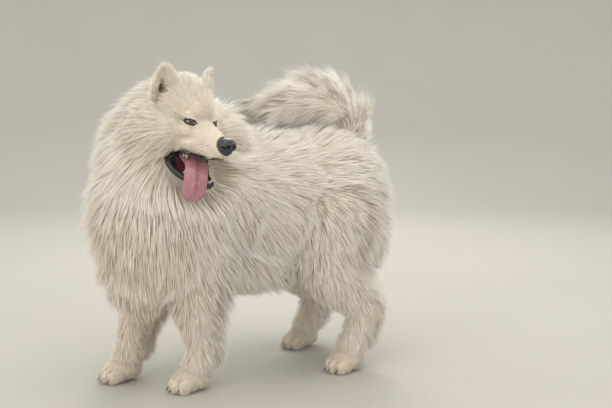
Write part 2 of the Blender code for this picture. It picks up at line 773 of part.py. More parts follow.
def lock_mesh(tree, root, coat, rng, scale, shift):
    """One flat, tapered lock that follows the core's surface and rises away from it to its tip."""
    near, normal, _, _ = tree.find_nearest(root)
    near, normal, _, _ = tree.find_nearest(near + coat.lie(near).normalized() * shift)
    length = coat.length * scale * rng.uniform(0.85, 1.15)
    width = coat.width * math.sqrt(scale) * rng.uniform(0.85, 1.15)
    sway, bend = rng.uniform(-0.25, 0.25), rng.uniform(-0.5, 0.5)
    path, normals = [], []
    here = near
    for k in range(LOCK_RINGS + 1):
        near, normal, _, _ = tree.find_nearest(here)
        lie = coat.lie(near)
        lie = lie - normal * lie.dot(normal)
        lie = lie.normalized() if lie.length > 1e-4 else normal.orthogonal()
        lie = (lie + normal.cross(lie) * (sway + bend * k / LOCK_RINGS)).normalized()
        height = coat.rise * k / LOCK_RINGS if k else -ROOT_DEPTH
        path.append(near + normal * height)
        normals.append(normal.copy())
        here = near + normal * max(height, 0.0) + lie * (length / LOCK_RINGS)
    bm = bmesh.new()
    rings = []
    for k in range(LOCK_RINGS):
        ahead = (path[k + 1] - path[k]).normalized()
        side = normals[k].cross(ahead).normalized()
        face = ahead.cross(side).normalized()
        half = width / 2 * LOCK_WIDTHS[k]
        ridge = coat.thick * (1.0 - 0.25 * k)
        rings.append([bm.verts.new(path[k] + side * half - face * ridge * 0.3),
                      bm.verts.new(path[k] + face * ridge * 0.7),
                      bm.verts.new(path[k] - side * half - face * ridge * 0.3)])
    tip = bm.verts.new(path[-1])
    for low, high in zip(rings, rings[1:]):
        for i in range(3):
            j = (i + 1) % 3
            bm.faces.new((low[i], low[j], high[j]))
            bm.faces.new((low[i], high[j], high[i]))
    for i in range(3):
        bm.faces.new((rings[-1][i], rings[-1][(i + 1) % 3], tip))
    bm.faces.new(rings[0])
    bmesh.ops.recalc_face_normals(bm, faces=bm.faces)
    return bm


def grow_locks(surface, nodes, coats, taken, rng):
    """Locks on one outer surface. One that would cross another node is moved, shortened or left out."""
    skin = tree_of([surface])
    cores = {name: tree_of([obj]) for name, obj in nodes.items()}

    def owner_of(spot):
        return min(coats, key=lambda name: cores[name].find_nearest(spot)[3])

    def crosses(name, root, bm, mine):
        if coats[name].off_face and any(before_face(v.co) for v in bm.verts):
            return True
        if any(mine.overlap(tree) for other, tree in cores.items() if other != name):
            return True
        return any(other != name and (place - root).length < LOCK_REACH and mine.overlap(tree)
                   for other, place, tree in taken)

    grown_locks = {name: [] for name in coats}
    for name, roots in spread_roots(surface, owner_of, coats, rng).items():
        for root in roots:
            state = rng.getstate()
            for shift, scale in TRIES:
                rng.setstate(state)
                bm = lock_mesh(skin, root, coats[name], rng, scale, shift)
                mine = BVHTree.FromBMesh(bm)
                if not crosses(name, root, bm, mine):
                    taken.append((name, root, mine))
                    grown_locks[name].append(bm)
                    break
                bm.free()
    return grown_locks


def rough_spots(obj):
    """Places where a mesh doesn't close cleanly once points that touch are merged."""
    bm = bmesh.new()
    bm.from_mesh(obj.data)
    bmesh.ops.remove_doubles(bm, verts=bm.verts, dist=MERGE)
    spots = [(e.verts[0].co + e.verts[1].co) / 2 for e in bm.edges if len(e.link_faces) != 2]
    spots += [v.co.copy() for v in bm.verts if not v.is_manifold]
    bm.free()
    return spots


def join_locks(obj, locks):
    """One union joins a node's locks to its core. A lock that doesn't join cleanly is left out."""
    core = obj.data
    places = [[v.co.copy() for v in bm.verts] for bm in locks]
    meshes = []
    for bm in locks:
        mesh = bpy.data.meshes.new("lock")
        bm.to_mesh(mesh)
        bm.free()
        meshes.append(mesh)
    while True:
        obj.data = core.copy()
        strands = collection_named("strands")
        for mesh in meshes:
            strands.objects.link(bpy.data.objects.new("lock", mesh.copy()))
        boolean(obj, strands, "UNION", solver="MANIFOLD")
        for strand in list(strands.objects):
            remove(strand)
        bpy.data.collections.remove(strands)
        keep_largest(obj)
        spots = rough_spots(obj)
        if not spots:
            return obj
        worst = min(range(len(places)), key=lambda i: min((c - spots[0]).length for c in places[i]))
        del places[worst], meshes[worst]


def material_named(name, colour, roughness):
    made = bpy.data.materials.new(name)
    made.use_nodes = True
    shader = made.node_tree.nodes["Principled BSDF"]
    shader.inputs["Base Color"].default_value = (*colour, 1.0)
    shader.inputs["Roughness"].default_value = roughness
    shader.inputs["Metallic"].default_value = 0.0
    return made


def finish(obj, name, colour, roughness, where, anchor):
    """Names a node, gives it its own material and hangs it on the anchor."""
    for holder in list(obj.users_collection):
        holder.objects.unlink(obj)
    where.objects.link(obj)
    obj.name = name
    obj.data.name = name
    obj.data.materials.clear()
    obj.data.materials.append(material_named(name, colour, roughness))
    obj.data.shade_smooth()
    obj.parent = anchor


def build():
    clear_scene()
    rng = random.Random(SEED)
    samoyed = collection_named("samoyed")
    work = collection_named("work")
    tools = collection_named("cutters")
    anchor = bpy.data.objects.new("anchor", None)
    samoyed.objects.link(anchor)
    anchor.location = ORIGIN_SHIFT

    nose = make_nose(work, tools)
    tongue = make_tongue(work)
    jaw = make_jaw(work, tools, tongue)
    head = make_head(work, tools, [nose, tongue, jaw])
    ears = {side: make_ear(side, work, tools, head) for side in SIDE}
    eyes = {side: make_eye(side, f"eye_{side}", work) for side in SIDE}
    face = [head, nose, jaw, tongue, *ears.values(), *eyes.values()]
    for obj in face:
        obj.data.transform(HEAD)

    body = make_body(work)
    for region in (face_region(work), mouth_region(work)):
        boolean(body, region, "DIFFERENCE")
        remove(region)
    cut_clear(body, [head, jaw, tongue, *ears.values()], tools)
    keep_largest(body)
    tail = make_tail(work, tools, body)
    surfaces = {obj: copy_of(obj, "coat_surface", work) for obj in (body, head, tail)}
    nodes = {}
    for side, s in SIDE.items():
        region = leg_region(work, (s * 0.082, -0.165, 0.310), PAW_FRONT[side], 0.066, 0.088, "front_region")
        nodes[f"leg_front_{side}"] = part_off(body, region, f"leg_front_{side}", work, tools)
        remove(region)
        region = leg_region(work, (s * 0.120, 0.215, 0.370), PAW_HIND[side], 0.096, 0.150, "hind_region")
        nodes[f"leg_hind_{side}"] = part_off(body, region, f"leg_hind_{side}", work, tools)
        remove(region)
    region = neck_region(work)
    nodes["neck"] = part_off(body, region, "neck", work, tools)
    remove(region)
    nodes["torso"] = keep_largest(body)
    region = tail_region(work)
    nodes["tail_plume"] = part_off(tail, region, "tail_plume", work, tools)
    remove(region)
    nodes["tail_base"] = keep_largest(tail)
    nodes.update({"head": head, "nose": nose, "lower_jaw": jaw, "tongue": tongue})
    nodes.update({f"ear_{side}": ears[side] for side in SIDE})
    nodes.update({f"eye_{side}": eyes[side] for side in SIDE})

    neck = Coat(0.058, 0.130, 0.060, 0.044, lie=neck_lie, off_face=True)
    torso = Coat(0.070, 0.150, 0.070, 0.044, thick=0.012, lie=body_lie, allowed=off_belly, off_face=True)
    hind = Coat(0.070, 0.110, 0.060, 0.026, lie=leg_lie, allowed=above_hock)
    front = Coat(0.054, 0.075, 0.040, 0.016, thick=0.008, lie=leg_lie, allowed=above_wrist)
    cheek = Coat(0.042, 0.070, 0.036, 0.024, thick=0.008, lie=neck_lie, allowed=cheeks)
    arch = Coat(0.050, 0.105, 0.042, 0.038, lie=tail_lie)
    plume = Coat(0.046, 0.125, 0.040, 0.056, lie=tail_lie)
    growth = (
        (head, {"head": cheek}),
        (tail, {"tail_base": arch, "tail_plume": plume}),
        (body, {"neck": neck, "torso": torso, "leg_hind_left": hind, "leg_hind_right": hind,
                "leg_front_left": front, "leg_front_right": front}),
    )
    taken = []
    for surface, coats in growth:
        for name, locks in grow_locks(surfaces[surface], nodes, coats, taken, rng).items():
            if locks:
                join_locks(nodes[name], locks)

    looks = {"nose": (NOSE_BLACK, 0.35), "tongue": (TONGUE_PINK, 0.40),
             "eye_left": (EYE_BROWN, 0.08), "eye_right": (EYE_BROWN, 0.08)}
    for name, obj in nodes.items():
        colour, roughness = looks.get(name, (COAT, 0.85))
        finish(obj, name, colour, roughness, samoyed, anchor)
    for obj in list(work.objects) + list(tools.objects):
        remove(obj)


build()
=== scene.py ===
"""The looks of a standing samoyed: its skin, its long white coat, and its head and feet in detail.

The dog faces -Y, its left side is +X and +Z is up. Sizes are in metres. The shapes are worked out
in the dog's own frame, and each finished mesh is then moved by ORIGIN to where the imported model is.
The coat is made of tufts: thin, tapered, bent spikes that root in the skin and follow its lie.
"""

import json
import math

import bmesh
import bpy
import numpy as np
from mathutils import Euler, Matrix, Vector
from mathutils.bvhtree import BVHTree
from mathutils.kdtree import KDTree

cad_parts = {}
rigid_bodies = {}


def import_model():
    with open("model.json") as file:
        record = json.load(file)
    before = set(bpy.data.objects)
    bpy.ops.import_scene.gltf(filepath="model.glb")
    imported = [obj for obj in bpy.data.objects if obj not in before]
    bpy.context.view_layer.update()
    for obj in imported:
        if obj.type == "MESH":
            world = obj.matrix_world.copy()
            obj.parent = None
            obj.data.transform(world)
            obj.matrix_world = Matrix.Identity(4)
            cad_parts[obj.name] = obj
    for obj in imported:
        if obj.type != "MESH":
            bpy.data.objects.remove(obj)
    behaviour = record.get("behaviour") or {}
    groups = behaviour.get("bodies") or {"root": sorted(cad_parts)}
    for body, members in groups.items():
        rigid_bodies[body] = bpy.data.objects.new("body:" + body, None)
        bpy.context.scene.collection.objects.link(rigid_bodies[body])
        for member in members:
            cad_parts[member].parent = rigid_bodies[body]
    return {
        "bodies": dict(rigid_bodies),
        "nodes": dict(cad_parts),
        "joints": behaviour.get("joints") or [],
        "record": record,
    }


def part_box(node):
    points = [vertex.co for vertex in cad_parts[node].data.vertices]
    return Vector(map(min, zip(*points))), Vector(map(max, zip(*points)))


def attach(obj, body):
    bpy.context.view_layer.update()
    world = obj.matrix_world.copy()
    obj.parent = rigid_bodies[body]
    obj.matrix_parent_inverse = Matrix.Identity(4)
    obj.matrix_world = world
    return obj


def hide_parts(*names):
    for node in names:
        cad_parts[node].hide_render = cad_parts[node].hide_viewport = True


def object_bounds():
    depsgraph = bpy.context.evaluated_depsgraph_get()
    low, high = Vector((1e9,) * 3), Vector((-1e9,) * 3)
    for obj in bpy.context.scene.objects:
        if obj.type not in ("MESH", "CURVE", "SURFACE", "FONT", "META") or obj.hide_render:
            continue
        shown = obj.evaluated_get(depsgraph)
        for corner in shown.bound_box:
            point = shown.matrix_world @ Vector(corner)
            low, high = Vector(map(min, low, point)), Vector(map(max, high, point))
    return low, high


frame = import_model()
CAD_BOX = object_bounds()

SEED = 11
GAP = 0.0003

# The head's own frame: x forward to the nose, y to its left, z up
HEAD_AT = Vector((0.098, -0.196, 0.632))
HEAD_YAW = math.radians(19.8)
HEAD_PITCH = math.radians(9.0)
HEAD_ROLL = math.radians(-4.0)
HEAD = Matrix.Translation(HEAD_AT) @ Euler((HEAD_ROLL, HEAD_PITCH, HEAD_YAW), "XYZ").to_matrix().to_4x4()
HEAD_TURN = np.array(HEAD.to_3x3())
EYE_RADIUS = 0.0122
EYE_AT = Vector((0.056, 0.0325, 0.010))
EYE_LOOK = Vector((0.80, 0.58, 0.10)).normalized()
EYE_SLANT = math.radians(8.0)
NOSE_AT = Vector((0.146, 0.0, -0.024))

# Paws on the floor
PAW_FRONT = {"left": Vector((0.076, -0.172, 0.0)), "right": Vector((-0.076, -0.290, 0.0))}
PAW_HIND = {"left": Vector((0.128, 0.228, 0.0)), "right": Vector((-0.118, 0.236, 0.0))}
SIDE = {"left": 1.0, "right": -1.0}

# How far the skin lies under the solids' surface
BODY_DEPTH = 0.032
TAIL_DEPTH = 0.032
THIGH_DEPTH = 0.022
LEG_DEPTH = 0.005
FACE_DEPTH = 0.0035
CHEEK_DEPTH = 0.012

# The camera stands on the dog's front left, at eye height
CAMERA_AT = Vector((2.0004, -0.9643, 0.70))
CAMERA_AHEAD = Vector((-0.8683, 0.4960, 0.0))
CAMERA_DOWN = math.radians(7.094)
SENSOR_WIDTH = 36.0
LENS = 52.94

# The map that the skin, the wool and the ears are unwrapped into, and that the tufts are laid out in
UV_MAP = "OFBake"


def eye_place(s):
    """The middle of an eyeball in the head's own frame, for s of 1 on the left and -1 on the right."""
    return Vector((EYE_AT.x, s * EYE_AT.y, EYE_AT.z))


def origin_shift():
    """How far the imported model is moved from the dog's own frame, read from the left eyeball."""
    low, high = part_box("eye_left")
    return (Vector(low) + Vector(high)) / 2 - HEAD @ eye_place(1)


ORIGIN = origin_shift()


# Meshes

def remove(obj):
    data = obj.data
    bpy.data.objects.remove(obj)
    if isinstance(data, bpy.types.Mesh) and not data.users:
        bpy.data.meshes.remove(data)


def link(name, mesh):
    obj = bpy.data.objects.new(name, mesh)
    bpy.context.scene.collection.objects.link(obj)
    return obj


def object_from(bm, name):
    mesh = bpy.data.meshes.new(name)
    bm.to_mesh(mesh)
    bm.free()
    return link(name, mesh)


def settle(obj):
    """Replaces an object's mesh by its evaluated one, so that its modifiers are applied."""
    graph = bpy.context.evaluated_depsgraph_get()
    graph.update()
    mesh = bpy.data.meshes.new_from_object(obj.evaluated_get(graph))
    old = obj.data
    obj.modifiers.clear()
    obj.data = mesh
    bpy.data.meshes.remove(old)
    return obj


def fuse(obj, voxel, smoothing):
    """Remeshes overlapping shapes into one closed surface and smooths it."""
    remesh = obj.modifiers.new("fuse", "REMESH")
    remesh.mode = "VOXEL"
    remesh.voxel_size = voxel
    smooth = obj.modifiers.new("smooth", "SMOOTH")
    smooth.factor = 0.5
    smooth.iterations = smoothing
    return settle(obj)


def face_outwards(obj):
    """Turns the faces of a closed mesh outwards."""
    bm = bmesh.new()
    bm.from_mesh(obj.data)
    bmesh.ops.recalc_face_normals(bm, faces=bm.faces)
    bm.to_mesh(obj.data)
    bm.free()


def surface_tree(mesh):
    """A search tree over a mesh's faces."""
    return BVHTree.FromPolygons([v.co for v in mesh.vertices], [p.vertices for p in mesh.polygons])


def point_tree(points):
    """A search tree over points."""
    tree = KDTree(len(points))
    for i, spot in enumerate(points):
        tree.insert(spot, i)
    tree.balance()
    return tree


def put_in_order(obj):
    """Puts points and faces in an order that follows from their places, which a Boolean leaves open."""
    mesh = obj.data
    spots = [tuple(v.co) for v in mesh.vertices]
    order = sorted(range(len(spots)), key=spots.__getitem__)
    rank = {old: new for new, old in enumerate(order)}
    faces = []
    for polygon in mesh.polygons:
        ring = [rank[i] for i in polygon.vertices]
        first = ring.index(min(ring))
        faces.append(ring[first:] + ring[:first])
    obj.data = bpy.data.meshes.new(mesh.name)
    obj.data.from_pydata([spots[i] for i in order], [], sorted(faces))
    bpy.data.meshes.remove(mesh)
    return obj


SPHERES = {}


def unit_sphere(detail):
    """The points and faces of a sphere of radius 1, with that many segments round it."""
    if detail not in SPHERES:
        bm = bmesh.new()
        bmesh.ops.create_uvsphere(bm, u_segments=detail, v_segments=detail // 2, radius=1.0)
        points = np.array([v.co for v in bm.verts])
        SPHERES[detail] = (points, [[v.index for v in f.verts] for f in bm.faces])
        bm.free()
    return SPHERES[detail]


def smooth_path(points, count):
    """count points spread evenly in parameter along a Catmull-Rom curve through points."""
    points = [np.asarray(p, float) for p in points]
    padded = [2 * points[0] - points[1], *points, 2 * points[-1] - points[-2]]
    spans = len(points) - 1
    made = []
    for step in range(count):
        at = step / (count - 1) * spans
        i = min(int(at), spans - 1)
        t = at - i
        a, b, c, d = padded[i : i + 4]
        made.append(0.5 * (2 * b + (c - a) * t + (2 * a - 5 * b + 4 * c - d) * t**2
                           + (3 * b - a - 3 * c + d) * t**3))
    return made


class Clay:
    """Overlapping closed shapes, kept as plain points and faces until they are fused."""

    def __init__(self):
        self.points = []
        self.faces = []

    def add(self, points, faces):
        start = len(self.points)
        self.points += [tuple(p) for p in points]
        self.faces += [[start + i for i in face] for face in faces]

    def ball(self, centre, semi, turn=(0.0, 0.0, 0.0), detail=24, frame=None):
        """Adds an ellipsoid with the semi-axes semi, turned by Euler angles in degrees, in a frame."""
        points, faces = unit_sphere(detail)
        spin = np.array(Euler([math.radians(a) for a in turn], "XYZ").to_matrix())
        points = (points * np.array(semi)) @ spin.T + np.array(centre)
        if frame is not None:
            points = points @ np.array(frame.to_3x3()).T + np.array(frame.translation)
        self.add(points, faces)

    def limb(self, stations, detail=20, frame=None):
        """Adds a limb as a chain of overlapping balls through stations of (x, y, z, radius)."""
        length = sum(math.dist(a[:3], b[:3]) for a, b in zip(stations, stations[1:]))
        thinnest = min(s[3] for s in stations)
        count = max(4, int(length / (0.25 * thinnest)) + 2)
        for x, y, z, r in smooth_path(stations, count):
            self.ball((x, y, z), (r, r, r), detail=detail, frame=frame)

    def object(self, name):
        mesh = bpy.data.meshes.new(name)
        mesh.from_pydata(self.points, [], self.faces)
        return link(name, mesh)

    def fused(self, name, voxel, smoothing):
        """One smooth closed surface round all the shapes."""
        return fuse(self.object(name), voxel, smoothing)


def boolean(obj, other, operation="DIFFERENCE"):
    """Applies a Boolean with one closed object, which is then removed."""
    cut = obj.modifiers.new("cut", "BOOLEAN")
    cut.operation = operation
    cut.solver = "MANIFOLD"
    cut.object = other
    settle(obj)
    remove(other)
    return obj


def sweep_tree(name, sides, material):
    """Geometry nodes that sweep a circle along every path, as thick as the path says at each point."""
    tree = bpy.data.node_groups.new(name, "GeometryNodeTree")
    tree.interface.new_socket("Paths", in_out="INPUT", socket_type="NodeSocketGeometry")
    tree.interface.new_socket("Sides", in_out="INPUT", socket_type="NodeSocketInt").default_value = sides
    tree.interface.new_socket("Solids", in_out="OUTPUT", socket_type="NodeSocketGeometry")
    start = add_node(tree, "NodeGroupInput")
    thick = add_node(tree, "GeometryNodeInputNamedAttribute", {"Name": "thick"}, data_type="FLOAT")
    curves = add_node(tree, "GeometryNodeMeshToCurve", {"Mesh": start.outputs["Paths"]})
    sized = add_node(tree, "GeometryNodeSetCurveRadius",
                     {"Curve": curves.outputs[0], "Radius": thick.outputs[0]})
    ring = add_node(tree, "GeometryNodeCurvePrimitiveCircle",
                    {"Resolution": start.outputs["Sides"], "Radius": 1.0})
    swept = add_node(tree, "GeometryNodeCurveToMesh",
                     {"Curve": sized.outputs[0], "Profile Curve": ring.outputs[0], "Fill Caps": True})
    if "Scale" in swept.inputs:
        tree.links.new(thick.outputs[0], swept.inputs["Scale"])
    real = add_node(tree, "GeometryNodeRealizeInstances", {"Geometry": swept.outputs[0]})
    coloured = add_node(tree, "GeometryNodeSetMaterial",
                        {"Geometry": real.outputs[0], "Material": material})
    end = add_node(tree, "NodeGroupOutput")
    tree.links.new(coloured.outputs[0], end.inputs["Solids"])
    return tree


def swept(name, paths, sides, material, frame=None):
    """Tapered solids along paths, each a list of places and a list of radii."""
    points, edges, radii = [], [], []
    for places, sizes in paths:
        start = len(points)
        points += [tuple(p) for p in places]
        edges += [(start + i, start + i + 1) for i in range(len(places) - 1)]
        radii += list(sizes)
    mesh = bpy.data.meshes.new(name)
    mesh.from_pydata(points, edges, [])
    float_attribute(mesh, "thick", radii)
    obj = link(name, mesh)
    tree = sweep_tree(name + "_sweep", sides, material)
    modifier = obj.modifiers.new("sweep", "NODES")
    modifier.node_group = tree
    sides_input = [i.identifier for i in tree.interface.items_tree if i.name == "Sides"][0]
    modifier[sides_input] = sides
    settle(obj)
    face_outwards(obj)
    if frame is not None:
        obj.data.transform(frame)
    return obj


# Materials

def colour(hex_code):
    """An sRGB hex colour as linear red, green, blue and alpha."""
    made = []
    for i in (0, 2, 4):
        c = int(hex_code[i : i + 2], 16) / 255
        made.append(c / 12.92 if c <= 0.04045 else ((c + 0.055) / 1.055) ** 2.4)
    return (*made, 1.0)


def add_node(tree, kind, inputs=None, stops=None, **settings):
    """Adds a node with its settings, input values and links, and a ramp's (position, hex) stops."""
    made = tree.nodes.new(kind)
    if stops:
        elements = made.color_ramp.elements
        while len(elements) < len(stops):
            elements.new(0.5)
        for element, (position, code) in zip(elements, stops):
            element.position = position
            element.color = colour(code)
    for key, value in settings.items():
        setattr(made, key, value)
    for name, value in (inputs or {}).items():
        if isinstance(value, bpy.types.NodeSocket):
            tree.links.new(value, made.inputs[name])
        else:
            made.inputs[name].default_value = value
    return made


def new_material(name):
    """A new material with a bare tree, and its output node."""
    made = bpy.data.materials.new(name)
    made.use_nodes = True
    made.node_tree.nodes.clear()
    return made, made.node_tree, made.node_tree.nodes.new("ShaderNodeOutputMaterial")


# The sockets of a colour mix: its factor, its two colours and what it gives
FACTOR = 0
FIRST = 6
SECOND = 7
MIXED = 2


def coat_material():
    """Long guard hair over wool: dry and matt, white at the tips, with painted shade that turns it cream
    towards the roots, mixed from a lit and a shaded copy of that colour.
    """
    made, tree, output = new_material("samoyed_guard_hair")
    along = add_node(tree, "ShaderNodeAttribute", attribute_name="along").outputs["Fac"]
    tone_and_shade = add_node(tree, "ShaderNodeAttribute", attribute_name="tone_and_shade").outputs["Fac"]
    biscuit_and_shade = add_node(tree, "ShaderNodeAttribute", attribute_name="biscuit_and_shade").outputs["Fac"]
    # Lit copy, with painted shade deep in the coat: darker and more cream towards the root
    pale = add_node(tree, "ShaderNodeValToRGB", {"Fac": along},
                    [(0.0, "F0E6D4"), (0.45, "F7F1E6"), (1.0, "FDFBF7")])
    # Shaded copy of the same colours, darker all along: painted shade
    deep = add_node(tree, "ShaderNodeValToRGB", {"Fac": along},
                    [(0.0, "DFD4BF"), (0.5, "E9E2D3"), (1.0, "EFEADF")])
    # Mixed by tuft between the lit and the shaded copy: tones at random, painted shade on the face and
    # painted light on the tail
    lit_shaded_mix = add_node(tree, "ShaderNodeMix",
                     {FACTOR: tone_and_shade, FIRST: pale.outputs[0], SECOND: deep.outputs[0]}, data_type="RGBA")
    # Biscuit, stains on the feet, and painted shade on the chest, over the face and at the corners of the
    # mouth
    tinged = add_node(tree, "ShaderNodeMix",
                      {FACTOR: biscuit_and_shade, FIRST: lit_shaded_mix.outputs[MIXED], SECOND: colour("CBAE86")},
                      data_type="RGBA")
    shader = add_node(tree, "ShaderNodeBsdfPrincipled",
                      {"Base Color": tinged.outputs[MIXED], "Roughness": 0.62,
                       "Specular IOR Level": 0.25, "Sheen Weight": 0.25, "Sheen Roughness": 0.4})
    tree.links.new(shader.outputs[0], output.inputs["Surface"])
    return made


def skin_material():
    """Skin under the coat: cream down on the body, and bare black or pink skin at lips and rims."""
    made, tree, output = new_material("samoyed_skin_and_down")
    place = add_node(tree, "ShaderNodeTexCoord").outputs["Object"]
    bare = add_node(tree, "ShaderNodeAttribute", attribute_name="bare").outputs["Fac"]
    mouth = add_node(tree, "ShaderNodeAttribute", attribute_name="mouth").outputs["Fac"]
    # Clumps of down 2.4 mm wide
    down = add_node(tree, "ShaderNodeTexNoise",
                    {"Vector": place, "Scale": 420.0, "Detail": 3.0}).outputs["Fac"]
    cream = add_node(tree, "ShaderNodeValToRGB", {"Fac": down}, [(0.3, "CDBFA6"), (0.7, "E9E0CF")])
    black = add_node(tree, "ShaderNodeMix",
                     {FACTOR: down, FIRST: colour("1B1A1B"), SECOND: colour("2E2A2A")},
                     data_type="RGBA")
    flesh = add_node(tree, "ShaderNodeMix",
                     {FACTOR: down, FIRST: colour("5A3034"), SECOND: colour("8A5054")},
                     data_type="RGBA")
    edged = add_node(tree, "ShaderNodeMix",
                     {FACTOR: bare, FIRST: cream.outputs[0], SECOND: black.outputs[MIXED]},
                     data_type="RGBA")
    lined = add_node(tree, "ShaderNodeMix",
                     {FACTOR: mouth, FIRST: edged.outputs[MIXED], SECOND: flesh.outputs[MIXED]},
                     data_type="RGBA")
    bump = add_node(tree, "ShaderNodeBump", {"Strength": 0.5, "Distance": 0.001, "Height": down})
    rough = add_node(tree, "ShaderNodeMapRange", {"Value": bare, "To Min": 0.75, "To Max": 0.32})
    shader = add_node(tree, "ShaderNodeBsdfPrincipled",
                      {"Base Color": lined.outputs[MIXED], "Roughness": rough.outputs[0],
                       "Normal": bump.outputs[0]})
    tree.links.new(shader.outputs[0], output.inputs["Surface"])
    return made


def wool_material():
    """Undercoat: soft, matt wool, cream white, with fine crimped fibres as bump."""
    made, tree, output = new_material("samoyed_undercoat_wool")
    place = add_node(tree, "ShaderNodeTexCoord").outputs["Object"]
    # Crimped wool in clumps of 2 mm, because single fibres are too fine to show
    fibres = add_node(tree, "ShaderNodeTexNoise",
                      {"Vector": place, "Scale": 500.0, "Detail": 3.0}).outputs["Fac"]
    tint = add_node(tree, "ShaderNodeValToRGB", {"Fac": fibres}, [(0.3, "DCCFB6"), (0.7, "EDE4D2")])
    bump = add_node(tree, "ShaderNodeBump", {"Strength": 0.6, "Distance": 0.002, "Height": fibres})
    shader = add_node(tree, "ShaderNodeBsdfPrincipled",
                      {"Base Color": tint.outputs[0], "Roughness": 0.85, "Specular IOR Level": 0.1,
                       "Normal": bump.outputs[0]})
    tree.links.new(shader.outputs[0], output.inputs["Surface"])
    return made


def black_skin_material(name, roughness):
    """Bare pigmented skin, as on lips and lids: near black, smooth and slightly wet."""
    made, tree, output = new_material(name)
    place = add_node(tree, "ShaderNodeTexCoord").outputs["Object"]
    # Skin grain 1.1 mm wide
    grain = add_node(tree, "ShaderNodeTexNoise",
                     {"Vector": place, "Scale": 900.0, "Detail": 2.0}).outputs["Fac"]
    tint = add_node(tree, "ShaderNodeValToRGB", {"Fac": grain}, [(0.35, "141314"), (0.70, "2B2829")])
    bump = add_node(tree, "ShaderNodeBump", {"Strength": 0.35, "Distance": 0.0006, "Height": grain})
    shader = add_node(tree, "ShaderNodeBsdfPrincipled",
                      {"Base Color": tint.outputs[0], "Roughness": roughness,
                       "Normal": bump.outputs[0]})
    tree.links.new(shader.outputs[0], output.inputs["Surface"])
    return made


def nose_material():
    """Nose leather: grey-black and moist, with a pebbled surface."""
    made, tree, output = new_material("nose_leather")
    place = add_node(tree, "ShaderNodeTexCoord").outputs["Object"]
    # Pebbles 0.9 mm wide, and patches of 6 mm
    pebbles = add_node(tree, "ShaderNodeTexVoronoi", {"Vector": place, "Scale": 1100.0},
                       feature="F1", distance="EUCLIDEAN")
    patches = add_node(tree, "ShaderNodeTexNoise", {"Vector": place, "Scale": 160.0})
    tint = add_node(tree, "ShaderNodeValToRGB", {"Fac": patches.outputs["Fac"]},
                    [(0.35, "1A1A1D"), (0.70, "3A393D")])
    bump = add_node(tree, "ShaderNodeBump",
                    {"Strength": 0.5, "Distance": 0.0006, "Height": pebbles.outputs["Distance"]},
                    invert=True)
    shader = add_node(tree, "ShaderNodeBsdfPrincipled",
                      {"Base Color": tint.outputs[0], "Roughness": 0.34, "Normal": bump.outputs[0],
                       "Coat Weight": 0.25, "Coat Roughness": 0.2})
    tree.links.new(shader.outputs[0], output.inputs["Surface"])
    return made


def tongue_material():
    """A wet tongue: rose pink, with painted shade along its groove, fine papillae and pale streaks of
    painted highlight.
    """
    made, tree, output = new_material("wet_tongue")
    place = add_node(tree, "ShaderNodeTexCoord").outputs["Object"]
    middle = add_node(tree, "ShaderNodeAttribute", attribute_name="middle").outputs["Fac"]
    # Papillae 1.4 mm wide, and flushed patches of 17 mm
    grain = add_node(tree, "ShaderNodeTexNoise", {"Vector": place, "Scale": 700.0, "Detail": 3.0})
    blood = add_node(tree, "ShaderNodeTexNoise", {"Vector": place, "Scale": 60.0, "Detail": 2.0})
    # Painted shade: darker towards the middle, along the groove
    across = add_node(tree, "ShaderNodeValToRGB", {"Fac": middle},
                      [(0.0, "B0747C"), (0.45, "9C606A"), (0.85, "7A4650"), (1.0, "512A33")])
    flushed = add_node(tree, "ShaderNodeMix",
                       {FACTOR: blood.outputs["Fac"], FIRST: across.outputs[0],
                        SECOND: colour("A4707A")}, data_type="RGBA")
    # Streaks 1.6 mm wide and 22 mm long, down the tongue: bumps, and pale painted highlights in its
    # colour
    long = add_node(tree, "ShaderNodeMapping", {"Vector": place, "Scale": (620.0, 620.0, 46.0)})
    streaks = add_node(tree, "ShaderNodeTexNoise",
                       {"Vector": long.outputs[0], "Scale": 1.0, "Detail": 2.0})
    pale = add_node(tree, "ShaderNodeMapRange",
                    {"Value": streaks.outputs["Fac"], "From Min": 0.50, "From Max": 0.72,
                     "To Max": 0.55})
    highlight_streaked = add_node(tree, "ShaderNodeMix",
                        {FACTOR: pale.outputs[0], FIRST: flushed.outputs[MIXED],
                         SECOND: colour("D3A5AC")}, data_type="RGBA")
    relief = add_node(tree, "ShaderNodeMath", {0: grain.outputs["Fac"], 1: streaks.outputs["Fac"]},
                      operation="ADD")
    bump = add_node(tree, "ShaderNodeBump",
                    {"Strength": 0.4, "Distance": 0.0008, "Height": relief.outputs[0]})
    shader = add_node(tree, "ShaderNodeBsdfPrincipled",
                      {"Base Color": highlight_streaked.outputs[MIXED], "Roughness": 0.33,
                       "Normal": bump.outputs[0], "Subsurface Weight": 0.25,
                       "Subsurface Radius": (0.006, 0.002, 0.0015), "Subsurface Scale": 1.0,
                       "Coat Weight": 0.3, "Coat Roughness": 0.15})
    tree.links.new(shader.outputs[0], output.inputs["Surface"])
    return made


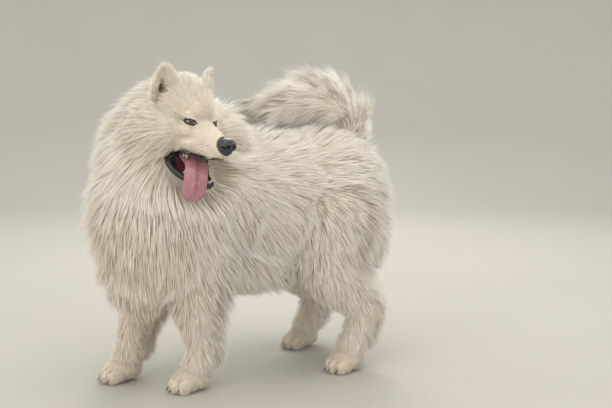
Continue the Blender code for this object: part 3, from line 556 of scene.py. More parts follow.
def eye_material():
    """A moist eyeball: black pupil, brown iris with radial fibres, dark rim and grey-white sclera."""
    made, tree, output = new_material("eye_brown")
    gaze = add_node(tree, "ShaderNodeAttribute", attribute_name="gaze").outputs["Fac"]
    place = add_node(tree, "ShaderNodeTexCoord").outputs["Object"]
    # Fibres 0.6 mm wide
    fibres = add_node(tree, "ShaderNodeTexNoise", {"Vector": place, "Scale": 1600.0, "Detail": 2.0})
    rings = add_node(tree, "ShaderNodeValToRGB", {"Fac": gaze},
                     [(0.0, "050505"), (0.235, "070605"), (0.265, "5A4030"), (0.45, "80604A"),
                      (0.56, "2E2018"), (0.62, "5E544E"), (0.9, "857A73")])
    faint = add_node(tree, "ShaderNodeMath", {0: fibres.outputs["Fac"], 1: 0.35},
                     operation="MULTIPLY")
    tint = add_node(tree, "ShaderNodeMix",
                    {FACTOR: faint.outputs[0], FIRST: rings.outputs[0], SECOND: colour("1B120C")},
                    data_type="RGBA")
    shader = add_node(tree, "ShaderNodeBsdfPrincipled",
                      {"Base Color": tint.outputs[MIXED], "Roughness": 0.08, "Coat Weight": 1.0,
                       "Coat Roughness": 0.02})
    tree.links.new(shader.outputs[0], output.inputs["Surface"])
    return made


def tooth_material():
    """Tooth enamel: ivory and smooth, in slightly uneven tones."""
    made, tree, output = new_material("tooth_enamel")
    place = add_node(tree, "ShaderNodeTexCoord").outputs["Object"]
    # Stains 4.5 mm wide
    stains = add_node(tree, "ShaderNodeTexNoise", {"Vector": place, "Scale": 220.0})
    tint = add_node(tree, "ShaderNodeValToRGB", {"Fac": stains.outputs["Fac"]},
                    [(0.3, "CDBB8E"), (0.7, "EFE8D6")])
    shader = add_node(tree, "ShaderNodeBsdfPrincipled",
                      {"Base Color": tint.outputs[0], "Roughness": 0.22, "Coat Weight": 0.3})
    tree.links.new(shader.outputs[0], output.inputs["Surface"])
    return made


def claw_material():
    """Claw horn: grey-brown, worn smooth and mottled."""
    made, tree, output = new_material("claw_horn")
    place = add_node(tree, "ShaderNodeTexCoord").outputs["Object"]
    # Mottling 3.3 mm wide
    mottling = add_node(tree, "ShaderNodeTexNoise",
                        {"Vector": place, "Scale": 300.0, "Detail": 2.0})
    tint = add_node(tree, "ShaderNodeValToRGB", {"Fac": mottling.outputs["Fac"]},
                    [(0.3, "4A4038"), (0.7, "7C6E60")])
    shader = add_node(tree, "ShaderNodeBsdfPrincipled",
                      {"Base Color": tint.outputs[0], "Roughness": 0.4})
    tree.links.new(shader.outputs[0], output.inputs["Surface"])
    return made


def ear_material():
    """Ear leather: thin, pink inside with a little down, cream outside."""
    made, tree, output = new_material("ear_leather")
    place = add_node(tree, "ShaderNodeTexCoord").outputs["Object"]
    inner = add_node(tree, "ShaderNodeAttribute", attribute_name="inner").outputs["Fac"]
    # Clumps of down 2.6 mm wide
    grain = add_node(tree, "ShaderNodeTexNoise",
                     {"Vector": place, "Scale": 380.0, "Detail": 3.0}).outputs["Fac"]
    pink = add_node(tree, "ShaderNodeValToRGB", {"Fac": grain}, [(0.3, "603229"), (0.7, "8E5548")])
    cream = add_node(tree, "ShaderNodeValToRGB", {"Fac": grain}, [(0.3, "D5C7AD"), (0.7, "EDE4D4")])
    tint = add_node(tree, "ShaderNodeMix",
                    {FACTOR: inner, FIRST: cream.outputs[0], SECOND: pink.outputs[0]},
                    data_type="RGBA")
    bump = add_node(tree, "ShaderNodeBump", {"Strength": 0.4, "Distance": 0.001, "Height": grain})
    shader = add_node(tree, "ShaderNodeBsdfPrincipled",
                      {"Base Color": tint.outputs[MIXED], "Roughness": 0.6,
                       "Normal": bump.outputs[0], "Subsurface Weight": 0.2,
                       "Subsurface Radius": (0.008, 0.003, 0.002), "Subsurface Scale": 1.0})
    tree.links.new(shader.outputs[0], output.inputs["Surface"])
    return made


def floor_material():
    """A matt painted studio floor, with faint clouds about 0.7 m wide."""
    made, tree, output = new_material("studio_floor_paint")
    place = add_node(tree, "ShaderNodeTexCoord").outputs["Object"]
    clouds = add_node(tree, "ShaderNodeTexNoise", {"Vector": place, "Scale": 1.5})
    tint = add_node(tree, "ShaderNodeValToRGB", {"Fac": clouds.outputs["Fac"]},
                    [(0.0, "B9B6AE"), (1.0, "C1BEB6")])
    shader = add_node(tree, "ShaderNodeBsdfPrincipled",
                      {"Base Color": tint.outputs[0], "Roughness": 0.85})
    tree.links.new(shader.outputs[0], output.inputs["Surface"])
    return made


def finish_piece(obj, material, slot_name, *nodes):
    """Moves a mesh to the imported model's frame, gives it its material and hangs it on the body."""
    obj.data.transform(Matrix.Translation(ORIGIN))
    obj.data.materials.clear()
    obj.data.materials.append(material)
    obj.data.shade_smooth()
    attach(obj, "root")
    if nodes:
        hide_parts(*nodes)
    return obj


def soften(mesh, normals):
    """Shades tufts by the coat's own surface, so that the coat reads as one soft mass."""
    mesh.shade_smooth()
    mesh.normals_split_custom_set(normals.astype(np.float32))


def float_attribute(mesh, name, values):
    made = mesh.attributes.new(name, "FLOAT", "POINT")
    made.data.foreach_set("value", np.asarray(values, np.float32))


def points_of(mesh):
    """A mesh's points as an array."""
    made = np.empty(3 * len(mesh.vertices), np.float32)
    mesh.vertices.foreach_get("co", made)
    return made.reshape(-1, 3).astype(float)


def normals_of(mesh):
    """A mesh's point normals as an array."""
    made = np.empty(3 * len(mesh.vertices), np.float32)
    mesh.vertices.foreach_get("normal", made)
    return made.reshape(-1, 3).astype(float)


def head_places(points):
    """Places in the head's own frame, for an array of points."""
    return (points - np.array(HEAD_AT)) @ HEAD_TURN


# Skin

TRUNK = (
    ((0.0, -0.205, 0.400), (0.156, 0.162, 0.180)),
    ((0.0, -0.110, 0.440), (0.150, 0.175, 0.155)),
    ((0.0, 0.050, 0.425), (0.144, 0.205, 0.168)),
    ((0.0, 0.212, 0.440), (0.146, 0.164, 0.160)),
    ((0.0, -0.030, 0.300), (0.108, 0.250, 0.086)),
    ((0.0, -0.250, 0.280), (0.090, 0.095, 0.092)),
)
NECK = [(0.000, -0.190, 0.470, 0.150), (0.012, -0.203, 0.535, 0.142),
        (0.032, -0.204, 0.600, 0.120), (0.044, -0.192, 0.645, 0.094)]
TAIL = [(0.000, 0.262, 0.520, 0.054), (0.002, 0.298, 0.590, 0.052), (0.000, 0.285, 0.642, 0.054),
        (-0.012, 0.236, 0.668, 0.056), (-0.030, 0.172, 0.668, 0.054), (-0.048, 0.112, 0.648, 0.046),
        (-0.060, 0.078, 0.624, 0.036)]


def thinner(stations, depth):
    """The same limb with every radius smaller."""
    return [(x, y, z, r - depth) for x, y, z, r in stations]


def front_leg(side):
    s, paw = SIDE[side], PAW_FRONT[side]
    lean = paw.y + 0.155
    return [(s * 0.078, -0.165, 0.360, 0.066 - THIGH_DEPTH),
            (s * 0.080, -0.155 + 0.30 * lean, 0.285, 0.058 - 0.7 * THIGH_DEPTH),
            (s * 0.078, -0.155 + 0.62 * lean, 0.190, 0.048 - 2 * LEG_DEPTH),
            (paw.x, paw.y + 0.024, 0.105, 0.042 - 2 * LEG_DEPTH),
            (paw.x, paw.y + 0.014, 0.060, 0.038 - LEG_DEPTH)]


def hind_leg(side):
    s, paw = SIDE[side], PAW_HIND[side]
    return [(s * 0.092, 0.200, 0.390, 0.090 - THIGH_DEPTH),
            (s * 0.104, 0.185, 0.300, 0.078 - THIGH_DEPTH),
            (s * 0.114, 0.205, 0.225, 0.060 - 0.7 * THIGH_DEPTH),
            (paw.x, paw.y + 0.040, 0.165, 0.047 - 2 * LEG_DEPTH),
            (paw.x, paw.y + 0.030, 0.105, 0.041 - 2 * LEG_DEPTH),
            (paw.x, paw.y + 0.012, 0.060, 0.038 - LEG_DEPTH)]


# How far across and ahead of a paw's middle its toes lie
TOES = ((-0.026, 0.032), (-0.009, 0.045), (0.009, 0.045), (0.026, 0.032))


def add_paw(clay, paw):
    """An oval paw with four arched toes and pads."""
    clay.ball((paw.x, paw.y - 0.002, 0.029), (0.034, 0.043, 0.027))
    for across, ahead in TOES:
        clay.ball((paw.x + across, paw.y - ahead + 0.004, 0.019), (0.0108, 0.020, 0.0165))
        clay.ball((paw.x + across, paw.y - ahead - 0.004, 0.010), (0.0090, 0.012, 0.0095))


def add_body(clay):
    for centre, semi in TRUNK:
        clay.ball(centre, [r - BODY_DEPTH for r in semi], detail=36)
    for s in SIDE.values():
        clay.ball((s * 0.090, 0.208, 0.355), [r - THIGH_DEPTH for r in (0.072, 0.128, 0.155)],
                  turn=(-8, 0, 0))
        clay.ball((s * 0.080, -0.185, 0.375), [r - THIGH_DEPTH for r in (0.066, 0.104, 0.135)])
    clay.limb(thinner(NECK, BODY_DEPTH), detail=32)
    clay.ball((0.008, -0.125, 0.560), [r - BODY_DEPTH for r in (0.114, 0.120, 0.114)])
    clay.limb(thinner(TAIL, TAIL_DEPTH)[:-1] + [(*TAIL[-1][:3], 0.012)])
    for side in SIDE:
        clay.limb(front_leg(side))
        clay.limb(hind_leg(side))
        add_paw(clay, PAW_FRONT[side])
        add_paw(clay, PAW_HIND[side])


def lip_line(side):
    """Points along the edge of the upper lip, from the corner of the mouth to the front."""
    return [(0.012, side * 0.050, -0.048), (0.050, side * 0.042, -0.056), (0.085, side * 0.031, -0.062),
            (0.114, side * 0.021, -0.061), (0.135, side * 0.006, -0.055)]


def lower_lip_line(side):
    """Points along the edge of the lower lip, from the corner of the mouth to the chin."""
    return [(0.026, side * 0.048, -0.084), (0.040, side * 0.041, -0.100), (0.060, side * 0.033, -0.109),
            (0.086, side * 0.022, -0.116), (0.113, side * 0.008, -0.118)]


def add_head(clay):
    """Skull, brows, cheeks, muzzle and jaw."""
    def ball(centre, semi, depth=FACE_DEPTH, turn=(0, 0, 0)):
        clay.ball(centre, [r - depth for r in semi], turn=turn, detail=32, frame=HEAD)

    ball((-0.014, 0.0, 0.030), (0.076, 0.072, 0.072), 0.008)
    ball((-0.030, 0.0, -0.020), (0.070, 0.078, 0.074), CHEEK_DEPTH)
    ball((0.026, 0.0, 0.030), (0.044, 0.050, 0.042))
    ball((-0.020, 0.0, -0.070), (0.048, 0.052, 0.044), CHEEK_DEPTH)
    for s in SIDE.values():
        ball((0.000, s * 0.050, -0.022), (0.050, 0.038, 0.056), 0.008, (0, 0, s * -12))
        ball((-0.026, s * 0.070, -0.022), (0.042, 0.036, 0.062), CHEEK_DEPTH, (0, 0, s * -12))
        ball((0.044, s * 0.033, 0.026), (0.020, 0.018, 0.012), 0.002, (0, 0, s * -20))
        ball((0.046, s * 0.037, -0.010), (0.026, 0.018, 0.016), 0.002, (0, 0, s * -20))
        ball(eye_place(s), [EYE_RADIUS + 0.0045] * 3, 0.002)
        clay.limb(thinner([(0.034, s * 0.034, -0.034, 0.018), (0.075, s * 0.024, -0.040, 0.017),
                           (0.110, s * 0.015, -0.043, 0.015), (0.128, s * 0.008, -0.045, 0.012)], 0.003),
                  frame=HEAD)
        clay.limb([(*p, 0.0030) for p in lip_line(s)[1:]], detail=12, frame=HEAD)
        clay.limb(thinner([(0.012, s * 0.034, -0.078, 0.016), (0.042, s * 0.026, -0.098, 0.0125),
                           (0.080, s * 0.016, -0.114, 0.010), (0.104, s * 0.008, -0.119, 0.009)], 0.002),
                  frame=HEAD)
        clay.limb([(*p, 0.0050) for p in lower_lip_line(s)], detail=12, frame=HEAD)
    clay.limb([(0.050, 0.0, 0.006, 0.0165), (0.080, 0.0, 0.000, 0.0145),
               (0.122, 0.0, -0.014, 0.0110)], frame=HEAD)
    clay.limb(thinner([(0.040, 0.0, -0.012, 0.039), (0.082, 0.0, -0.021, 0.033),
                       (0.116, 0.0, -0.030, 0.0285), (0.134, 0.0, -0.034, 0.024)], FACE_DEPTH),
              frame=HEAD)
    clay.limb(thinner([(0.012, 0.0, -0.085, 0.028), (0.046, 0.0, -0.106, 0.022),
                       (0.082, 0.0, -0.120, 0.0165), (0.106, 0.0, -0.124, 0.0125)], 0.003), frame=HEAD)


def eye_axes(side):
    """Where an eye looks, the line between its corners, and the way up across it."""
    out = Vector((EYE_LOOK.x, side * EYE_LOOK.y, EYE_LOOK.z))
    level = Vector((0, 0, 1)).cross(out).normalized()
    along = (Matrix.Rotation(side * EYE_SLANT, 4, out) @ level).normalized()
    return out, along, out.cross(along).normalized()


def oriented_ball(centre, axes, semi, name, detail=32):
    """An ellipsoid in the head's frame whose own axes are given as three unit vectors."""
    points, faces = unit_sphere(detail)
    frame_rows = np.array([list(a) for a in axes])
    clay = Clay()
    clay.add((points * np.array(semi)) @ frame_rows + np.array(centre), faces)
    obj = clay.object(name)
    obj.data.transform(HEAD)
    return obj


# The open mouth: an ellipsoid cut out of the head, in the head's own frame, tilted by degrees
MOUTH_AT = Vector((0.072, 0.0, -0.0880))
MOUTH_SEMI = (0.054, 0.085, 0.0255)
MOUTH_TILT = 17.0
# How far the black lips reach out from it, as a share of its own size
UPPER_LIP = 0.07
LOWER_LIP = 0.40
# The tongue's path, from its root to its tip
TONGUE = [(0.020, 0.000, -0.060), (0.050, -0.006, -0.070), (0.079, -0.016, -0.079),
          (0.098, -0.031, -0.096), (0.103, -0.034, -0.119), (0.102, -0.034, -0.141),
          (0.099, -0.032, -0.158)]
# The space round mouth and tongue that long fur from behind keeps out of
MOUTH_SPACE = (0.075, 0.0, -0.098)
MOUTH_SPACE_SEMI = (0.094, 0.078, 0.062)
# Half the width and half the height of the opening between the lids
OPENING = (0.0140, 0.0052)


def make_skin():
    """One skin over the whole animal, opened at the eyes and the mouth."""
    clay = Clay()
    add_body(clay)
    add_head(clay)
    skin = clay.fused("skin", 0.0028, 5)
    below = Matrix.Translation((0, 0, -0.5 + GAP)) @ Matrix.Diagonal((2, 2, 1, 1))
    under = bmesh.new()
    bmesh.ops.create_cube(under, size=1.0, matrix=below)
    boolean(skin, object_from(under, "under_floor"))
    for s in SIDE.values():
        centre = eye_place(s)
        axes = eye_axes(s)
        boolean(skin, oriented_ball(centre, axes, [EYE_RADIUS + 0.0004] * 3, "socket"))
        almond = (0.012, *OPENING)
        boolean(skin, oriented_ball(centre + axes[0] * EYE_RADIUS, axes, almond, "almond"))
    cavity = Clay()
    cavity.ball(MOUTH_AT, MOUTH_SEMI, turn=(0, MOUTH_TILT, 0), detail=40, frame=HEAD)
    boolean(skin, cavity.object("cavity"))
    rough = points_of(skin.data)
    local = head_places(rough)
    fine = (local[:, 0] > -0.02) & (np.abs(local[:, 1]) < 0.09) & (local[:, 2] > -0.15)
    group = skin.vertex_groups.new(name="body")
    group.add([int(i) for i in np.nonzero(~fine)[0]], 1.0, "REPLACE")
    thin = skin.modifiers.new("thin", "DECIMATE")
    thin.ratio = 0.34
    thin.vertex_group = "body"
    thin.vertex_group_factor = 10.0
    settle(skin)
    put_in_order(skin)
    return skin


def path_distance(points, path, count=60):
    """The distance of each point to a curve through path."""
    stations = np.array(smooth_path(path, count))[:, :3]
    return np.min(np.linalg.norm(points[:, None, :] - stations[None, :, :], axis=2), axis=1)


def ramp_up(values, low, high):
    """0 below low, 1 above high and a smooth step between them. low may be the larger."""
    t = np.clip((np.asarray(values, float) - low) / (high - low), 0.0, 1.0)
    return t * t * (3.0 - 2.0 * t)


def mouth_size(local):
    """How far out points lie from the mouth's middle: 1 on the wall of its hollow, more outside."""
    tilt = np.array(Euler((0, math.radians(MOUTH_TILT), 0), "XYZ").to_matrix())
    away = (local - np.array(MOUTH_AT)) @ tilt / np.array(MOUTH_SEMI)
    size = np.linalg.norm(away, axis=1)
    near = (np.abs(local[:, 1]) < 0.056) | (np.abs(local[:, 1]) < 0.080) & (size < 1.0)
    return np.where(near, size, 9.0), away


def lip_band(away):
    """How wide the black lip is at each place: narrow above, and broad below and at the corner."""
    lower = np.maximum(ramp_up(away[:, 2], 0.35, -0.20), ramp_up(away[:, 0], -0.70, -0.95))
    return UPPER_LIP + (LOWER_LIP - UPPER_LIP) * lower


def in_mouth(local):
    """1 inside the mouth's hollow or close to its wall, falling to 0 outside."""
    size, _ = mouth_size(local)
    return ramp_up(size, 1.04, 1.01)


def eye_places(local, s):
    """Places seen from an eye: along the line between its corners, up across it, and out."""
    out, along, up = (np.array(a) for a in eye_axes(s))
    away = local - np.array(eye_place(s))
    return away @ along, away @ up, away @ out


def paint_skin(skin):
    """Marks bare black skin at the lips, lids and nose, and the flesh inside the mouth."""
    points = points_of(skin.data)
    local = head_places(points)
    near = np.linalg.norm(local, axis=1) < 0.25
    bare = np.zeros(len(points))
    mouth = np.zeros(len(points))
    q = local[near]
    size, away = mouth_size(q)
    band = 1.0 + lip_band(away)
    black = ramp_up(size, band + 0.06, band - 0.04) * (q[:, 0] > 0.0)
    for s in SIDE.values():
        black = np.maximum(black, ramp_up(path_distance(q, lip_line(s)[1:]), 0.0052, 0.0036))
        x, y, z = eye_places(q, s)
        rim = np.sqrt((x / (OPENING[0] + 0.0022)) ** 2 + (y / (OPENING[1] + 0.0022)) ** 2)
        black = np.maximum(black, ramp_up(rim, 1.12, 0.95) * (z > 0.002))
    black = np.maximum(black, ramp_up(np.linalg.norm(q - np.array(NOSE_AT), axis=1), 0.0245, 0.0215))
    hollow = in_mouth(q)
    bare[near] = np.maximum(black, hollow)
    deep = ramp_up(q[:, 0], 0.090, 0.045) * ramp_up(np.abs(q[:, 1]), 0.036, 0.026)
    mouth[near] = hollow * deep
    float_attribute(skin.data, "bare", bare)
    float_attribute(skin.data, "mouth", mouth)
    return bare


# Coat

class Chain:
    """A chain of balls joined into one rounded limb, to measure how close points are to it."""

    def __init__(self, stations):
        self.stations = np.array(stations, float)

    def distance(self, points):
        best = np.full(len(points), 1e9)
        for a, b in zip(self.stations, self.stations[1:]):
            span = b[:3] - a[:3]
            t = np.clip(((points - a[:3]) @ span) / (span @ span), 0.0, 1.0)
            centre = a[:3] + t[:, None] * span
            radius = a[3] + t * (b[3] - a[3])
            best = np.minimum(best, np.linalg.norm(points - centre, axis=1) - radius)
        return best


def head_station(f, l, u, r):
    spot = HEAD @ Vector((f, l, u))
    return (spot.x, spot.y, spot.z, r)


CHAINS = {
    "head": Chain([head_station(-0.010, 0, 0.010, 0.072), head_station(0.030, 0, -0.010, 0.050),
                   head_station(0.120, 0, -0.040, 0.034)]),
    "neck": Chain(thinner(NECK, BODY_DEPTH)[1:]),
    "trunk": Chain([(0, -0.205, 0.400, 0.130), (0, 0.050, 0.425, 0.118), (0, 0.212, 0.440, 0.122)]),
    "tail": Chain(thinner(TAIL, TAIL_DEPTH)[1:]),
    "front": [Chain(front_leg(side)[1:]) for side in SIDE],
    "hind": [Chain(hind_leg(side)[1:]) for side in SIDE],
}
REGIONS = tuple(CHAINS)
HEAD_ROW = REGIONS.index("head")
TAIL_ROW = REGIONS.index("tail")


def region_shares(points):
    """How far each point belongs to each region, as shares that add up to 1."""
    distances = []
    for name in REGIONS:
        chains = CHAINS[name]
        if isinstance(chains, Chain):
            distances.append(chains.distance(points))
        else:
            distances.append(np.minimum(*[c.distance(points) for c in chains]))
    distances = np.array(distances)
    softness = np.array([[0.012 if name in ("head", "neck", "tail") else 0.022] for name in REGIONS])
    shares = np.exp(-(distances - distances.min(axis=0)) / softness)
    return shares / shares.sum(axis=0)


def unit(vectors):
    return vectors / np.maximum(np.linalg.norm(vectors, axis=-1, keepdims=True), 1e-9)


def head_lie(points, local):
    """Fur runs back from the nose, up over the brow, and down and back on the cheeks."""
    f, l, u = local.T
    back = np.stack([np.full(len(f), -1.0), 0.5 * np.sign(l) * ramp_up(np.abs(l), 0.0, 0.05),
                     0.35 * ramp_up(u, 0.0, 0.05) - 0.85 * ramp_up(u, 0.0, -0.06)], axis=1)
    return back @ HEAD_TURN.T


def neck_lie(points, local):
    away = unit(points - np.array(HEAD @ Vector((0.075, 0.0, 0.0))))
    return away + np.array([0.0, 0.0, -0.55])


def trunk_lie(points, local):
    """Back along the spine, down on the chest and the shoulders, and back and down on the flanks."""
    x, y, z = points.T
    chest = ramp_up(y, 0.02, -0.16)
    low = ramp_up(z, 0.54, 0.40)
    seat = ramp_up(y, 0.20, 0.34)
    back = (1.0 - 0.92 * chest * low) * (1.0 - 0.45 * low) * (1.0 - 0.6 * seat * low)
    return np.stack([x * 0.8, back, -0.12 - 0.55 * low - 0.70 * chest * low - 0.5 * seat], axis=1)


TAIL_SPOTS = np.array(smooth_path(TAIL, 60))[:, :3]
CURL_MIDDLE = (-0.02, 0.20, 0.590)


def tail_lie(points, local):
    """Hair runs along the tail, and droops where it hangs under it."""
    near = np.argmin(np.linalg.norm(points[:, None, :] - TAIL_SPOTS[None], axis=2), axis=1)
    ahead = unit(TAIL_SPOTS[np.minimum(near + 1, 59)] - TAIL_SPOTS[np.maximum(near - 1, 0)])
    below = ramp_up(points[:, 2] - TAIL_SPOTS[near][:, 2], 0.012, -0.018) * ramp_up(near, 8, 20)
    fan = points - np.array(CURL_MIDDLE)
    fan[:, 0] *= 0.3
    droop = np.tile([0.0, -0.3, -0.9], (len(points), 1))
    droop[:, 0] = points[:, 0] * 4.0
    return ahead + 0.30 * unit(fan) * (1.0 - below)[:, None] + 0.7 * droop * below[:, None]


def leg_lie(points, local):
    return np.stack([points[:, 0] * 0.2, np.full(len(points), 0.30), np.full(len(points), -1.0)], axis=1)


LIES = {"head": head_lie, "neck": neck_lie, "trunk": trunk_lie, "tail": tail_lie,
        "front": leg_lie, "hind": leg_lie}


def head_sizes(points, normals, local):
    """Length, rise and width of the fur on the head: shortest on the muzzle, longest on the cheeks."""
    f, l, u = local.T
    muzzle = ramp_up(f, 0.030, 0.070)
    cheek = ramp_up(np.abs(l), 0.042, 0.068) * ramp_up(f, 0.030, -0.010) * ramp_up(u, 0.050, 0.015)
    back = ramp_up(f, -0.015, -0.060)
    throat = ramp_up(u, -0.080, -0.110) * ramp_up(f, 0.090, 0.030)
    crown = ramp_up(f, 0.055, 0.015) * ramp_up(u, 0.015, 0.045)
    by_ear = ramp_up(np.hypot(f + 0.006, np.abs(l) - 0.034), 0.030, 0.010) * ramp_up(u, 0.030, 0.050)
    long = np.maximum.reduce([cheek, back, 0.8 * throat, 0.30 * crown, 0.75 * by_ear])
    length = 0.014 - 0.006 * muzzle + 0.030 * long
    bridge = (ramp_up(np.abs(l), 0.024, 0.010) * ramp_up(f, 0.095, 0.070)
              * ramp_up(f, 0.010, 0.030) * (u > 0))
    rise = 0.0070 - 0.0045 * muzzle + 0.026 * long + 0.0060 * bridge
    width = 0.0009 - 0.0002 * muzzle + 0.0004 * long
    return length, rise, width


def neck_sizes(points, normals, local):
    full = np.ones(len(points))
    return 0.078 * full, 0.067 * full, 0.0015 * full


def trunk_sizes(points, normals, local):
    """The coat stands off the flanks and the rump, and hangs longer on the chest."""
    belly = ramp_up(normals[:, 2], -0.45, -0.85)
    chest = ramp_up(points[:, 1], -0.12, -0.24)
    full = np.ones(len(points))
    return 0.056 + 0.022 * chest, 0.067 - 0.014 * belly, 0.0015 * full


def tail_sizes(points, normals, local):
    """The plume is longest above the arch."""
    full = np.ones(len(points))
    under = ramp_up(normals[:, 2], -0.1, -0.7)
    return 0.072 * full, 0.047 + 0.012 * under, 0.0012 * full


def leg_sizes(points, normals, local):
    """Short in front and on the feet, and feathered behind."""
    z = points[:, 2]
    high = ramp_up(z, 0.13, 0.30)
    feather = ramp_up(normals[:, 1], 0.1, 0.7) * ramp_up(z, 0.05, 0.12)
    foot = ramp_up(z, 0.085, 0.045)
    length = (0.026 + 0.024 * high + 0.024 * feather) * (1 - foot) + 0.012 * foot
    rise = (0.0150 + 0.024 * high + 0.018 * feather) * (1 - foot) + 0.0060 * foot
    width = (0.0012 + 0.0003 * high) * (1 - foot) + 0.0010 * foot
    return length, rise, width


SIZES = {"head": head_sizes, "neck": neck_sizes, "trunk": trunk_sizes, "tail": tail_sizes,
         "front": leg_sizes, "hind": leg_sizes}


def coat_at(points, normals):
    """The coat's length, rise, width and lie at each point, mixed from the regions round it."""
    shares = region_shares(points)
    local = head_places(points)
    sizes = np.zeros((3, len(points)))
    lie = np.zeros((len(points), 3))
    for share, name in zip(shares, REGIONS):
        sizes += share * np.array(SIZES[name](points, normals, local))
        lie += share[:, None] * unit(LIES[name](points, local))
    return sizes[0], sizes[1], sizes[2], unit(lie), shares


def surface_samples(mesh, weights, count, rng):
    """Random places on a triangle mesh: points, normals and unwrap places, drawn by weight."""
    mesh.calc_loop_triangles()
    n = len(mesh.loop_triangles)
    corners = np.empty(3 * n, np.int32)
    mesh.loop_triangles.foreach_get("vertices", corners)
    corners = corners.reshape(-1, 3)
    loops = np.empty(3 * n, np.int32)
    mesh.loop_triangles.foreach_get("loops", loops)
    loops = loops.reshape(-1, 3)
    areas = np.empty(n, np.float32)
    mesh.loop_triangles.foreach_get("area", areas)
    points = points_of(mesh)
    normals = normals_of(mesh)
    uvs = np.empty(2 * len(mesh.loops), np.float32)
    mesh.uv_layers[UV_MAP].data.foreach_get("uv", uvs)
    uvs = uvs.reshape(-1, 2)
    chance = areas * weights[corners].mean(axis=1)
    picked = rng.choice(n, size=count, p=chance / chance.sum())
    u, v = rng.random(count), rng.random(count)
    over = u + v > 1
    u[over], v[over] = 1 - u[over], 1 - v[over]
    share = np.stack([1 - u - v, u, v], axis=1)[:, :, None]
    return ((points[corners[picked]] * share).sum(axis=1),
            unit((normals[corners[picked]] * share).sum(axis=1)),
            (uvs[loops[picked]] * share).sum(axis=1))


def spaced(points, gaps):
    """Which of the points to keep so that those kept are at least their gap apart."""
    kept = []
    cells = {}
    size = float(np.max(gaps))
    for i, (point, gap) in enumerate(zip(points, gaps)):
        cell = tuple((point // size).astype(int))
        near = [j for dx in (-1, 0, 1) for dy in (-1, 0, 1) for dz in (-1, 0, 1)
                for j in cells.get((cell[0] + dx, cell[1] + dy, cell[2] + dz), ())]
        if not near or np.min(np.sum((points[near] - point) ** 2, axis=1)) > gap * gap:
            cells.setdefault(cell, []).append(i)
            kept.append(i)
    return np.array(kept)


# The places along a tuft where it bends, as shares of its length, and how deep its root sits
STATIONS = np.array([0.0, 0.30, 0.63, 1.0])
SUNK = 0.0015
# How far a tuft's shading leans off the coat's surface at random, and round the tuft
TUFT_LEAN = 0.12
TUFT_ROUND = 0.22
# How many tufts are drawn, and how far apart the guides are that lead them
LONG_TUFTS = 146000
LONG_GAP = 0.012
SHORT_TUFTS = 27000
SHORT_GAP = 0.007
PLUSH_TUFTS = 5200
FLUFF_TUFTS = 2600
# The share of tufts that are undercoat: shorter and broader, between the guard hairs
WOOL_SHARE = 0.35
# How high the layer of undercoat stands, as a share of the coat's height
WOOL_HEIGHT = 0.36
# How far tips may stand out past the box of the solids
REACH = 0.019


def guide_paths(tree, roots, lengths, rises):
    """Bent paths that start in the skin, rise from it and lie back along the coat."""
    count = len(STATIONS)
    paths = np.zeros((len(roots), count, 3))
    ups = np.zeros((len(roots), count, 3))
    here = roots.copy()
    heights = 0.5 * np.sin(np.pi / 2 * STATIONS**0.9) + 0.5 * STATIONS**0.8
    for k in range(count):
        surface = np.zeros_like(here)
        up = np.zeros_like(here)
        for i, spot in enumerate(here):
            near, normal, _, _ = tree.find_nearest(Vector(spot))
            surface[i] = near
            up[i] = normal
        up = unit(up)
        height = rises * heights[k] if k else np.full(len(roots), -SUNK)
        paths[:, k] = surface + up * height[:, None]
        ups[:, k] = up
        if k == count - 1:
            break
        _, _, _, lie, _ = coat_at(surface, up)
        lie = unit(lie - up * np.sum(lie * up, axis=1, keepdims=True))
        step = lengths * (STATIONS[k + 1] - STATIONS[k])
        here = surface + up * np.maximum(height, 0.0)[:, None] + lie * step[:, None]
    return paths, ups


def guide_shares(roots, normals, guides, guide_normals, gap):
    """For each root the four nearest guides, and their shares; guides that face away get none."""
    tree = point_tree(guides)
    picked = np.zeros((len(roots), 4), int)
    away = np.zeros((len(roots), 4))
    for i, root in enumerate(roots):
        found = tree.find_n(root, 4)
        picked[i] = [index for _, index, _ in found]
        away[i] = [distance for _, _, distance in found]
    facing = np.sum(guide_normals[picked] * normals[:, None, :], axis=2)
    shares = np.exp(-((away / gap[:, None]) ** 2)) * np.clip(facing - 0.2, 1e-4, 1.0)
    order = np.argsort(-shares, axis=1)
    picked = np.take_along_axis(picked, order, axis=1)
    shares = np.take_along_axis(shares, order, axis=1)
    return picked, shares / shares.sum(axis=1, keepdims=True)


# The faces of a tuft that look down at the skin, by its number of rings
BELOW = {1: (0, 3), 2: (0, 3, 6), 3: (0, 3, 6, 9)}


